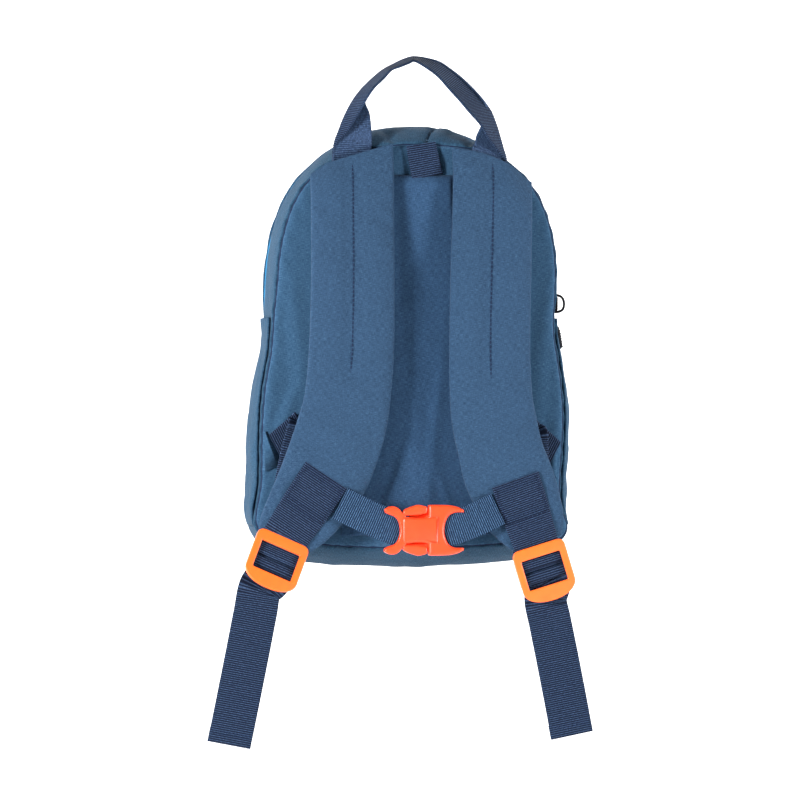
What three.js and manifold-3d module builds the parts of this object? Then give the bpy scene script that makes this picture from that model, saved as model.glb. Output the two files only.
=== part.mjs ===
// Toddler harness backpack, hung by its grab handle, straps towards -Y.
// Origin: underside of the handle's top. +X to the right seen from the strap side, +Y to the bag's front, +Z up.
import * as THREE from 'three';
import { mergeVertices } from 'three/addons/utils/BufferGeometryUtils.js';
import Module from 'manifold-3d';

const wasm = await Module();
wasm.setup();

// Driving sizes, in millimetres and degrees.
const clearance = 0.3;
const clothGap = 0.5;
const cloth = 1.6;
const pocketCloth = 1.2;
const webbing = 1.4;

const crestDrop = 36.3;
const bagHeight = 249.5;
const archRise = 84.7;
const archHalfWidth = 82.2;
const baseHalfWidth = 87;
const flareDrop = 100;
const bottomCorner = 22;
const bottomSag = 3.5;
const archRoundness = 2.2;
const shoulderSlump = 2.6;
const bagShift = -1.8;
const backTwist = 3;
const backSeamY = -20;
const topDepth = 58;
const baseDepth = 76;
const sideInset = 2.5;
const frontSideInset = 7;
const topInset = 11;
const topInsetFall = 5;
const bottomInset = 11;
const backBulge = 3;
const gussetRoundness = 2.2;
const frontBulge = 14;

const zipWidth = 7;
const zipEndDrop = 141;
const sliderDrop = 136;
const sliderLength = 10;
const sliderWidth = 7;
const sliderHeight = 1.8;
const bridgeWire = 1.5;
const bridgeLength = 9;
const pullerBar = 1.3;
const pullerWidth = 6;
const pullerLength = 22;
const pullerTilt = 2.5;
const pullerEyeSlack = 0.5;

const pocketHemDrop = 145;
const pocketFootRise = 23.8;
const pocketPuff = 3;
const pocketEdgeShare = 0.06;

const padHalfWidth = 45;
const padTopDrop = 64.5;
const padBottomRise = 17.8;
const padThickness = 4;

const strapTopDrop = 54;
const strapLength = 218;
const strapSpacing = 40;
const strapWidth = 47;
const strapThickness = 8;
const strapStandOff = 14;
const strapSeamGap = 1;
const strapBlend = 0.2;
const strapEndShare = 0.56;

const wideWebbing = 25;
const patchWidth = 28;
const patchEndWidth = 25.2;
const tailWidth = 24.4;
const tabWidth = 15;
const handleSpan = 50;
const handleRise = 50;
const reinWidth = 14;
const reinDrop = 47.5;

const lockWidth = 31;
const lockLength = 32;
const lockPlate = 2;
const lockRail = 2.6;
const lockBand = 6.5;
const lockLip = 8.5;
const lockBar = 2.2;
const lockBarLength = 3.6;
const lockDepth = 4.2;
const hemLength = 8;
const tabCloth = 1;

const chestWidth = 19;
const chestSag = 0.8;
const buckleOut = -1.5;
const buckleDropShare = 0.9647;
const buckleLength = 45.5;
const buckleHeight = 28.6;
const buckleThickness = 7.5;

// Segment counts of the meshed surfaces.
const zipArcSteps = 17;
const lowerArcSteps = 13;
const sideSteps = 4;

// Small vector helpers.
const vec = (x, y, z) => new THREE.Vector3(x, y, z);
const lerp = (a, b, t) => a + (b - a) * t;
const clamp01 = (t) => Math.min(1, Math.max(0, t));
const smooth = (t) => clamp01(t) ** 2 * (3 - 2 * clamp01(t));
const radians = (degrees) => (degrees * Math.PI) / 180;

// Turns a list of triangles given by corner points into one merged closed geometry facing out.
function closedGeometry(triangles) {
  const flat = [];
  for (const triangle of triangles) {
    for (const point of triangle) flat.push(point.x, point.y, point.z);
  }
  const raw = new THREE.BufferGeometry();
  raw.setAttribute('position', new THREE.Float32BufferAttribute(flat, 3));
  const merged = mergeVertices(raw, 1e-4);
  const index = merged.index.array;
  const kept = [];
  for (let i = 0; i < index.length; i += 3) {
    const [a, b, c] = [index[i], index[i + 1], index[i + 2]];
    if (a !== b && b !== c && a !== c) kept.push(a, b, c);
  }
  merged.setIndex(kept);
  if (signedVolume(merged) < 0) {
    for (let i = 0; i < kept.length; i += 3) [kept[i], kept[i + 1]] = [kept[i + 1], kept[i]];
    merged.setIndex(kept);
  }
  return merged;
}

function signedVolume(geometry) {
  const position = geometry.attributes.position;
  const index = geometry.index.array;
  const corner = (i) => new THREE.Vector3().fromBufferAttribute(position, index[i]);
  let sum = 0;
  for (let i = 0; i < index.length; i += 3) sum += corner(i).dot(corner(i + 1).cross(corner(i + 2)));
  return sum / 6;
}

// A cloth sheet: two grids of points, one on each face, and walls round every open edge.
function sheetSolid(outer, inner, { loop = false, has = () => true } = {}) {
  const rows = outer.length;
  const cols = outer[0].length;
  const lastRow = loop ? rows : rows - 1;
  const present = (i, j) => {
    if (j < 0 || j >= cols - 1) return false;
    if (loop) return has((i + rows) % rows, j);
    return i >= 0 && i < lastRow && has(i, j);
  };
  const triangles = [];
  const quad = (a, b, c, d) => triangles.push([a, b, c], [a, c, d]);
  for (let i = 0; i < lastRow; i += 1) {
    for (let j = 0; j < cols - 1; j += 1) {
      if (!present(i, j)) continue;
      const k = (i + 1) % rows;
      quad(outer[i][j], outer[k][j], outer[k][j + 1], outer[i][j + 1]);
      quad(inner[i][j], inner[i][j + 1], inner[k][j + 1], inner[k][j]);
      if (!present(i - 1, j)) quad(outer[i][j], outer[i][j + 1], inner[i][j + 1], inner[i][j]);
      if (!present(i + 1, j)) quad(outer[k][j], inner[k][j], inner[k][j + 1], outer[k][j + 1]);
      if (!present(i, j - 1)) quad(outer[i][j], inner[i][j], inner[k][j], outer[k][j]);
      if (!present(i, j + 1)) quad(outer[i][j + 1], outer[k][j + 1], inner[k][j + 1], inner[i][j + 1]);
    }
  }
  return closedGeometry(triangles);
}

// A solid skinned through rings with equal numbers of points, closed by fans at both ends.
function loftSolid(rings) {
  const triangles = [];
  const count = rings[0].length;
  for (let i = 0; i < rings.length - 1; i += 1) {
    for (let j = 0; j < count; j += 1) {
      const k = (j + 1) % count;
      triangles.push([rings[i][j], rings[i + 1][j], rings[i + 1][k]], [rings[i][j], rings[i + 1][k], rings[i][k]]);
    }
  }
  const last = rings[rings.length - 1];
  for (let j = 1; j < count - 1; j += 1) {
    triangles.push([rings[0][0], rings[0][j], rings[0][j + 1]], [last[0], last[j + 1], last[j]]);
  }
  return closedGeometry(triangles);
}

// Flat webbing along points; across gives the width direction at each point, widths one width or one for each.
function ribbonSolid(points, across, widths, thickness) {
  const rings = points.map((point, i) => {
    const before = points[Math.max(0, i - 1)];
    const after = points[Math.min(points.length - 1, i + 1)];
    const legIn = point.clone().sub(before).normalize();
    const legOut = after.clone().sub(point).normalize();
    const tangent = legIn.clone().add(legOut).normalize();
    const side = across[i].clone().normalize();
    const normal = new THREE.Vector3().crossVectors(tangent, side).normalize();
    const halfTurn = legIn.lengthSq() && legOut.lengthSq() ? legIn.angleTo(legOut) / 2 : 0;
    const half = side.multiplyScalar((Array.isArray(widths) ? widths[i] : widths) / 2);
    normal.multiplyScalar(thickness / 2 / Math.cos(halfTurn));
    return [
      point.clone().add(half).add(normal),
      point.clone().sub(half).add(normal),
      point.clone().sub(half).sub(normal),
      point.clone().add(half).sub(normal),
    ];
  });
  return loftSolid(rings);
}

// Booleans on closed geometries.
function toManifold(geometry) {
  const bare = geometry.clone();
  bare.deleteAttribute('normal');
  bare.deleteAttribute('uv');
  const merged = mergeVertices(bare, 1e-4);
  return new wasm.Manifold(new wasm.Mesh({
    numProp: 3,
    vertProperties: new Float32Array(merged.attributes.position.array),
    triVerts: new Uint32Array(merged.index.array),
  }));
}

function fromManifold(solid) {
  const mesh = solid.getMesh();
  const geometry = new THREE.BufferGeometry();
  geometry.setAttribute('position', new THREE.BufferAttribute(new Float32Array(mesh.vertProperties), 3));
  geometry.setIndex(new THREE.BufferAttribute(new Uint32Array(mesh.triVerts), 1));
  return geometry;
}

// The bag's outline at mid depth, from the crest down the right side to the middle of the bottom.
function halfOutline() {
  const points = [];
  const shoulder = -(crestDrop + archRise);
  const bottom = -(crestDrop + bagHeight);
  const cornerTop = bottom + bottomSag + bottomCorner;
  const fine = 48;
  for (let i = 0; i <= fine; i += 1) {
    const angle = (i / fine) * (Math.PI / 2);
    const across = archHalfWidth * Math.sin(angle) ** (2 / archRoundness);
    points.push([across, shoulder + archRise * Math.cos(angle) ** (2 / archRoundness)]);
  }
  for (let i = 1; i <= fine; i += 1) {
    const z = lerp(shoulder, cornerTop, i / fine);
    points.push([halfWidthAt(z), z]);
  }
  const cornerX = baseHalfWidth - bottomCorner;
  for (let i = 1; i <= fine / 2; i += 1) {
    const angle = (i / (fine / 2)) * (Math.PI / 2);
    points.push([cornerX + bottomCorner * Math.cos(angle), cornerTop - bottomCorner * Math.sin(angle)]);
  }
  for (let i = 1; i <= fine; i += 1) {
    const x = cornerX * (1 - i / fine);
    points.push([x, bottom + bottomSag * (x / cornerX) ** 2]);
  }
  return points;
}

function halfWidthAt(z) {
  const below = -(crestDrop + archRise) - z;
  return lerp(archHalfWidth, baseHalfWidth, smooth(below / flareDrop));
}

const outlineHalf = halfOutline();
const outlineLengths = [0];
for (let i = 1; i < outlineHalf.length; i += 1) {
  const [ax, az] = outlineHalf[i - 1];
  const [bx, bz] = outlineHalf[i];
  outlineLengths.push(outlineLengths[i - 1] + Math.hypot(bx - ax, bz - az));
}
const halfGirth = outlineLengths[outlineLengths.length - 1];

// Point and outward normal at a signed length from the crest, plus to the right and minus to the left.
// The left shoulder slumps inward a little.
function outlineAt(length) {
  const mirror = length < 0 ? -1 : 1;
  const along = Math.min(Math.abs(length), halfGirth);
  let i = outlineLengths.findIndex((value) => value >= along);
  i = Math.max(1, i);
  const share = (along - outlineLengths[i - 1]) / (outlineLengths[i] - outlineLengths[i - 1]);
  const [ax, az] = outlineHalf[i - 1];
  const [bx, bz] = outlineHalf[i];
  const [dx, dz] = tangentAt(along);
  const [nx, nz] = [mirror * -dz, dx];
  const along01 = along / (archHalfWidth + archRise);
  const slump = mirror < 0 ? shoulderSlump * smooth(along01 * 2.5) * smooth((1 - along01) * 2.5) : 0;
  return { x: mirror * lerp(ax, bx, share) - nx * slump, z: lerp(az, bz, share) - nz * slump, nx, nz };
}

// Sideways place of the bag's middle at a depth: below the arch the back hangs to the left of the front.
function middleX(z, share) {
  const below = -(crestDrop + archRise) - z;
  return bagShift - backTwist * smooth(below / (archRise / 2)) * (1 - 2 * share);
}

function tangentAt(along) {
  const reach = 4;
  const low = pointAlong(Math.max(0, along - reach));
  const high = pointAlong(Math.min(halfGirth, along + reach));
  if (along < reach || along > halfGirth - reach) return [along < reach ? 1 : -1, 0];
  const length = Math.hypot(high[0] - low[0], high[1] - low[1]);
  return [(high[0] - low[0]) / length, (high[1] - low[1]) / length];
}

function pointAlong(along) {
  const i = Math.max(1, outlineLengths.findIndex((value) => value >= along - 1e-9));
  const share = (along - outlineLengths[i - 1]) / (outlineLengths[i] - outlineLengths[i - 1]);
  const [ax, az] = outlineHalf[i - 1];
  const [bx, bz] = outlineHalf[i];
  return [lerp(ax, bx, share), lerp(az, bz, share)];
}

// Length from the crest at which the outline has dropped to a depth below the origin on its side.
function lengthAtDrop(drop) {
  const i = outlineHalf.findIndex(([, z]) => z <= -drop);
  const share = (-drop - outlineHalf[i - 1][1]) / (outlineHalf[i][1] - outlineHalf[i - 1][1]);
  return lerp(outlineLengths[i - 1], outlineLengths[i], share);
}

function depthAt(z) {
  return lerp(topDepth, baseDepth, smooth((-crestDrop - z) / bagHeight));
}

// Point of the gusset's outer face: share 0 is the back seam, 1 the front seam; set moves it along the normal.
function gussetPoint(length, share, set = 0) {
  const at = outlineAt(length);
  const vertical = at.nz > 0 ? topInset * at.nz ** topInsetFall : bottomInset * at.nz ** 2;
  const sideways = share < 0.5 ? sideInset : frontSideInset;
  const inset = sideways * at.nx ** 2 + vertical;
  const move = set - inset * Math.abs(2 * share - 1) ** gussetRoundness;
  return vec(at.x + at.nx * move + middleX(at.z, share), backSeamY + share * depthAt(at.z), at.z + at.nz * move);
}

const zipEnd = lengthAtDrop(zipEndDrop);

// Lengths of the outline's stations round the whole loop, with one exactly at each end of the zip.
function loopStations() {
  const right = [];
  for (let i = 0; i < zipArcSteps; i += 1) right.push((zipEnd * i) / zipArcSteps);
  for (let i = 0; i < lowerArcSteps; i += 1) right.push(lerp(zipEnd, halfGirth, i / lowerArcSteps));
  const left = right.slice(1).map((length) => -length).reverse();
  return [...right, halfGirth, ...left];
}

const stations = loopStations();

// Shares of the depth at the gusset's columns, with the zip slot between the two middle ones.
function columnShares(z, slotWidth) {
  const slot = slotWidth / 2 / depthAt(z);
  const shares = [];
  for (let j = 0; j <= sideSteps; j += 1) shares.push(((0.5 - slot) * j) / sideSteps);
  for (let j = 0; j <= sideSteps; j += 1) shares.push(lerp(0.5 + slot, 1, j / sideSteps));
  return shares;
}

function gussetGeometry() {
  const slotWidth = zipWidth + 2 * clearance;
  const grid = (set) => stations.map((length) => {
    const shares = columnShares(outlineAt(length).z, slotWidth);
    return shares.map((share) => gussetPoint(length, share, set));
  });
  const inZip = (i) => {
    const middle = (stations[i] + stations[(i + 1) % stations.length]) / 2;
    const wraps = stations[i] > 0 && stations[(i + 1) % stations.length] < 0;
    return !wraps && Math.abs(middle) < zipEnd;
  };
  return sheetSolid(grid(0), grid(-cloth), { loop: true, has: (i, j) => j !== sideSteps || !inZip(i) });
}

function zipGeometry() {
  const steps = 2 * zipArcSteps;
  const reach = zipEnd - clearance;
  const grid = (set) => Array.from({ length: steps + 1 }, (_, i) => {
    const length = lerp(-reach, reach, i / steps);
    const half = zipWidth / 2 / depthAt(outlineAt(length).z);
    return [-half, 0, half].map((side) => gussetPoint(length, 0.5 + side, set));
  });
  return sheetSolid(grid(-0.2), grid(-cloth));
}

// Panels are lids over the gusset's ends: flat at the rim, domed within it.
const panelSteps = 5;

function panelGeometry(share, outward, bulge) {
  const centreZ = -(crestDrop + bagHeight / 2);
  const middleY = backSeamY + share * depthAt(centreZ);
  const grid = (set) => stations.map((length) => {
    const rim = gussetPoint(length, share);
    return Array.from({ length: panelSteps + 1 }, (_, j) => {
      const reach = 1 - j / panelSteps;
      const dome = bulge * (1 - reach ** 2) ** 2;
      const y = lerp(middleY, rim.y, reach) + outward * (clothGap + set + dome);
      return vec(rim.x * reach, y, lerp(centreZ, rim.z, reach));
    });
  });
  return sheetSolid(grid(cloth), grid(0), { loop: true });
}

// Y of the back panel's outer face at a place, by its share of the way from the middle to the rim.
function backPanelY(x, z) {
  const centreZ = -(crestDrop + bagHeight / 2);
  let rimReach = Infinity;
  let nearest = Infinity;
  const angle = Math.atan2(x, z - centreZ);
  for (const length of stations) {
    const rim = gussetPoint(length, 0);
    const turn = Math.abs(Math.atan2(Math.sin(Math.atan2(rim.x, rim.z - centreZ) - angle),
      Math.cos(Math.atan2(rim.x, rim.z - centreZ) - angle)));
    if (turn < nearest) {
      nearest = turn;
      rimReach = Math.hypot(rim.x, rim.z - centreZ);
    }
  }
  const reach = clamp01(Math.hypot(x, z - centreZ) / rimReach);
  return backSeamY - clothGap - cloth - backBulge * (1 - reach ** 2) ** 2;
}

const backPlane = backSeamY - clothGap - cloth;

function backPadGeometry() {
  const across = [-1, -0.92, -0.6, -0.2, 0.2, 0.6, 0.92, 1];
  const down = [0, 0.03, 0.12, 0.3, 0.5, 0.7, 0.88, 0.97, 1];
  const edge = (share) => Math.min(1, (1 - Math.abs(share)) / 0.4) ** 0.5;
  const place = (u, v) => [u * padHalfWidth, -lerp(padTopDrop, crestDrop + bagHeight - padBottomRise, v)];
  const back = down.map((v) => across.map((u) => {
    const [x, z] = place(u, v);
    return vec(x, backPanelY(x, z) - clothGap, z);
  }));
  const front = down.map((v) => across.map((u) => {
    const [x, z] = place(u, v);
    const full = 0.35 + 0.65 * edge(u) * edge(2 * v - 1);
    return vec(x, backPanelY(x, z) - clothGap - padThickness * full, z);
  }));
  return sheetSolid(front, back);
}

function pocketGeometry(side) {
  const hem = lengthAtDrop(pocketHemDrop);
  const foot = lengthAtDrop(crestDrop + bagHeight - pocketFootRise);
  const rows = 8;
  const cols = 8;
  const grid = (inner) => Array.from({ length: rows + 1 }, (_, i) => Array.from({ length: cols + 1 }, (_, j) => {
    const down = i / rows;
    const share = lerp(pocketEdgeShare, 1 - pocketEdgeShare, j / cols);
    const puff = pocketPuff * smooth(down * 1.4) * smooth((1 - down) * 5) * Math.sin((Math.PI * j) / cols) ** 0.6;
    return gussetPoint(side * lerp(hem, foot, down), share, clothGap + puff + (inner ? 0 : pocketCloth));
  }));
  return sheetSolid(grid(false), grid(true));
}

// Shoulder straps: a row per section. down, out, width, standOff and thick are shares of strapLength,
// strapSpacing, strapWidth, strapStandOff and strapThickness; tilt lifts the outer edge, in degrees.
const strapTables = {
  left: [
    { down: 0, out: 0.985, width: 1.04, tilt: -17, standOff: 0.2, thick: 0.45 },
    { down: 0.06, out: 0.99, width: 1.01, tilt: -7, standOff: 0.3, thick: 0.95 },
    { down: 0.14, out: 1, width: 1, tilt: -1.5, standOff: 0.55, thick: 1 },
    { down: 0.305, out: 1.015, width: 1, tilt: 0, standOff: 0.95, thick: 1 },
    { down: 0.49, out: 1.035, width: 1.02, tilt: 0, standOff: 1, thick: 1 },
    { down: 0.62, out: 1.09, width: 1.03, tilt: 5.5, standOff: 1, thick: 1 },
    { down: 0.69, out: 1.165, width: 1.06, tilt: 10.5, standOff: 1, thick: 1 },
    { down: 0.762, out: 1.285, width: 1.07, tilt: 12.5, standOff: 1, thick: 1 },
    { down: 0.83, out: 1.43, width: 1.05, tilt: 17, standOff: 1, thick: 0.95 },
    { down: 0.897, out: 1.62, width: 0.98, tilt: 18, standOff: 1, thick: 0.8 },
    { down: 0.954, out: 1.82, width: 0.86, tilt: 19, standOff: 1, thick: 0.66 },
    { down: 0.996, out: 1.98, width: 0.67, tilt: 22, standOff: 1, thick: 0.56 },
  ],
  right: [
    { down: 0.016, out: 1.02, width: 1.02, tilt: -18, standOff: 0.2, thick: 0.45 },
    { down: 0.07, out: 1.01, width: 0.97, tilt: -8, standOff: 0.3, thick: 0.95 },
    { down: 0.145, out: 0.99, width: 0.97, tilt: -2, standOff: 0.55, thick: 1 },
    { down: 0.305, out: 0.945, width: 0.98, tilt: 0, standOff: 0.95, thick: 1 },
    { down: 0.49, out: 0.925, width: 0.98, tilt: 0, standOff: 1, thick: 1 },
    { down: 0.62, out: 0.945, width: 1, tilt: 1.5, standOff: 1, thick: 1 },
    { down: 0.69, out: 0.995, width: 1.03, tilt: 5, standOff: 1, thick: 1 },
    { down: 0.76, out: 1.08, width: 1.03, tilt: 9, standOff: 1, thick: 1 },
    { down: 0.83, out: 1.2, width: 1.08, tilt: 9, standOff: 1, thick: 0.95 },
    { down: 0.892, out: 1.33, width: 1.03, tilt: 9, standOff: 1, thick: 0.8 },
    { down: 0.948, out: 1.455, width: 0.92, tilt: 12, standOff: 1, thick: 0.66 },
    { down: 1, out: 1.61, width: 0.63, tilt: 18, standOff: 1, thick: 0.56 },
  ],
};

// Half section of a strap, as shares of its half width and half thickness.
const strapSection = [[1, 0], [0.97, 0.55], [0.86, 0.9], [0.5, 1], [0, 1], [-0.5, 1], [-0.86, 0.9], [-0.97, 0.55], [-1, 0]];

function strapPlace(row, side) {
  const tilt = radians(row.tilt);
  const thick = row.thick * strapThickness;
  return {
    centre: vec(side * row.out * strapSpacing, backPlane - row.standOff * strapStandOff - thick / 2,
      -strapTopDrop - row.down * strapLength),
    across: vec(side * Math.cos(tilt), 0, Math.sin(tilt)),
    half: (row.width * strapWidth) / 2,
    thick,
  };
}

// Height of the back seam above a place on the strap's straight top edge.
function seamRise(x, z) {
  const sideOf = Math.sign(x);
  for (let length = 0; length < halfGirth; length += 1) {
    const seam = gussetPoint(sideOf * length, 0);
    if (Math.abs(seam.x) >= Math.abs(x)) return Math.max(0, seam.z - strapSeamGap - z);
  }
  return 0;
}

// The strap's top end follows the curve of the seam, and the rise fades out down to strapBlend.
function strapGeometry(name, side) {
  const rings = strapTables[name].map((row) => {
    const { centre, across, half, thick } = strapPlace(row, side);
    const upper = strapSection.map(([u, v]) => [u, v]);
    const lower = strapSection.slice(1, -1).map(([u, v]) => [u, -v]).reverse();
    const top = strapPlace({ ...row, down: strapTables[name][0].down, tilt: strapTables[name][0].tilt }, side);
    const fade = smooth((strapBlend - row.down) / strapBlend);
    return [...upper, ...lower].map(([u, v]) => {
      const edge = top.centre.clone().add(top.across.clone().multiplyScalar(u * half));
      const rise = fade > 0 ? fade * seamRise(edge.x, edge.z) : 0;
      return centre.clone().add(across.clone().multiplyScalar(u * half)).add(vec(0, (-v * thick) / 2, rise));
    });
  });
  return loftSolid(rings);
}

// Strap hardware hangs in a frame at the strap's end: across, down and forward towards the viewer.
// Leans are degrees, patch is a share of lockLength, tail of strapLength, out of strapSpacing, drop
// of strapLength below the strap's top, tailShift and chestShare of patchWidth and of the patch's length.
const hangs = {
  left: {
    side: -1, patchLean: 33.5, lockLean: 23.7, tailLean: 11.3,
    patch: 1.31, tail: 0.404, out: 1.983, drop: 0.984, tailShift: -0.08, chestShare: 0.79,
  },
  right: {
    side: 1, patchLean: 19.2, lockLean: 17, tailLean: 10.6,
    patch: 1.22, tail: 0.35, out: 1.585, drop: 1.005, tailShift: -0.12, chestShare: 0.69,
  },
};

const frontOfEnd = backPlane - strapStandOff - strapThickness * strapEndShare - clearance - webbing / 2;

const leanAcross = (side, lean) => vec(Math.cos(lean), 0, side * Math.sin(lean));
const leanDown = (side, lean) => vec(side * Math.sin(lean), 0, -Math.cos(lean));

function lockFrame(hang) {
  const lean = radians(hang.lockLean);
  const origin = vec(hang.side * hang.out * strapSpacing, frontOfEnd, -strapTopDrop - hang.drop * strapLength);
  const across = leanAcross(hang.side, lean);
  const down = leanDown(hang.side, lean);
  const place = (a, d, f) => origin.clone().addScaledVector(across, a).addScaledVector(down, d).add(vec(0, -f, 0));
  return { origin, across, down, place };
}

// The lock's inner layout along its length.
const barRadius = lockBar / 2;
const wrapRadius = barRadius + clearance + webbing / 2;
const barFront = -webbing / 2 - clearance;
const barCentre = barFront - barRadius;
const fixedBarTop = lockBand + lockBar;
const fixedBarEnd = fixedBarTop + lockBarLength - barRadius;
const gapMiddle = fixedBarEnd + wrapRadius + webbing / 2 + clearance + webbing / 2;
const slideBarStart = gapMiddle + wrapRadius;
const slideBarEnd = slideBarStart + 0.8;

function arcRoute(centreD, centreF, radius, from, to, steps) {
  return Array.from({ length: steps + 1 }, (_, i) => {
    const angle = radians(lerp(from, to, i / steps));
    return [centreD + radius * Math.cos(angle), centreF + radius * Math.sin(angle)];
  });
}

function rodGeometry(outline, halfWidth) {
  const rings = [-halfWidth, halfWidth].map((a) => outline.map(([d, f]) => vec(a, -f, -d)));
  return loftSolid(rings);
}

function stadium(startD, endD, centreF, radius) {
  return [...arcRoute(endD, centreF, radius, -90, 90, 5), ...arcRoute(startD, centreF, radius, 90, 270, 5)];
}

// Extrusion of an outline given in across and down, from a low to a high forward place.
function plateGeometry(shape, low, high) {
  const geometry = new THREE.ExtrudeGeometry(shape, { depth: high - low, bevelEnabled: false, curveSegments: 5 });
  geometry.rotateX(Math.PI / 2);
  geometry.translate(0, -low, 0);
  return geometry;
}

function lockShape() {
  const half = lockWidth / 2;
  const corner = 4;
  const shape = new THREE.Shape();
  shape.moveTo(-half + corner, 0);
  shape.lineTo(half - corner, 0);
  shape.quadraticCurveTo(half, 0, half, -corner);
  shape.lineTo(half, -(lockLength - lockLip));
  shape.quadraticCurveTo(half * 0.86, -lockLength, 0, -lockLength);
  shape.quadraticCurveTo(-half * 0.86, -lockLength, -half, -(lockLength - lockLip));
  shape.lineTo(-half, -corner);
  shape.quadraticCurveTo(-half, 0, -half + corner, 0);
  return shape;
}

function rectangle(x0, x1, z0, z1) {
  const shape = new THREE.Shape();
  shape.moveTo(x0, z0);
  shape.lineTo(x1, z0);
  shape.lineTo(x1, z1);
  shape.lineTo(x0, z1);
  shape.closePath();
  return shape;
}

function lockGeometry() {
  const half = lockWidth / 2;
  const inside = half - lockRail;
  const lipTop = lockLength - lockLip;
  const plateBack = webbing / 2 + clearance;
  const plate = toManifold(plateGeometry(lockShape(), plateBack, plateBack + lockPlate));
  const window = toManifold(plateGeometry(rectangle(-inside, inside, -lipTop, -lockBand), 0, 2 * lockLip));
  const rails = [-1, 1].map((side) => {
    const x0 = Math.min(side * inside, side * half);
    const shape = rectangle(x0, x0 + lockRail, -(lipTop + 1), -(lockBand - 1));
    return toManifold(plateGeometry(shape, -lockDepth, plateBack + lockPlate / 2));
  });
  const bars = [[fixedBarTop + barRadius, fixedBarEnd], [slideBarStart, slideBarEnd]]
    .map(([start, end]) => toManifold(rodGeometry(stadium(start, end, barCentre, barRadius), half - lockRail / 2)));
  let solid = plate.subtract(window);
  for (const piece of [...rails, ...bars]) solid = solid.add(piece);
  return fromManifold(solid);
}

function orientedGeometry(geometry, frame) {
  const matrix = new THREE.Matrix4().makeBasis(frame.across, vec(0, 1, 0), frame.down.clone().multiplyScalar(-1));
  matrix.setPosition(frame.origin);
  return geometry.clone().applyMatrix4(matrix);
}

// Fixed webbing: stitched on the strap's face, behind the lock's top band and round the fixed bar.
function patchGeometry(hang) {
  const frame = lockFrame(hang);
  const lean = radians(hang.patchLean);
  const patchDown = leanDown(hang.side, lean);
  const patchAcross = leanAcross(hang.side, lean);
  const rise = strapThickness * (1 - strapEndShare);
  const points = [];
  const across = [];
  const widths = [];
  for (const share of [1, 0.75, 0.5, 0.25, 0.06]) {
    const up = -share * hang.patch * lockLength;
    points.push(frame.origin.clone().addScaledVector(patchDown, up).add(vec(0, -rise * share, 0)));
    across.push(patchAcross.clone().lerp(frame.across, share < 0.1 ? 0.6 : 0));
    widths.push(lerp(patchEndWidth, patchWidth, smooth(share * 1.6)));
  }
  const route = [
    [1.5, 0],
    ...arcRoute(fixedBarEnd, barCentre, wrapRadius, 90, -90, 6),
    [2 * wrapRadius - webbing, barCentre - wrapRadius],
  ];
  for (const [d, f] of route) {
    points.push(frame.place(0, d, f));
    across.push(frame.across.clone());
    widths.push(patchEndWidth);
  }
  return ribbonSolid(points, across, widths, webbing);
}

// Adjusting webbing, a row per tab. Drops are shares of bagHeight below the crest, and the places in from the
// outline are shares of tailWidth: the tab's mouth, the soft fold, and the strand going down behind the strap.
const anchors = {
  left: { drop: 0.715, inset: 0.295, foldDrop: 0.674, foldInset: 1.04, strandDrop: 0.744, strandInset: 0.89 },
  right: { drop: 0.744, inset: 0.2, foldDrop: 0.708, foldInset: 0.91, strandDrop: 0.776, strandInset: 0.91 },
};

function anchorPlace(side, drop, inset) {
  const z = -crestDrop - drop * bagHeight;
  return vec(side * (halfWidthAt(z) - inset * tailWidth) + middleX(z, 0), 0, z);
}

// Where the tail starts, just below the lock's slide bar.
function tailFrame(hang) {
  const lean = radians(hang.tailLean);
  const start = lockFrame(hang).place(hang.tailShift * patchWidth, lockLength, barCentre - wrapRadius);
  return { start, down: leanDown(hang.side, lean), across: leanAcross(hang.side, lean), length: hang.tail * strapLength };
}

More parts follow.
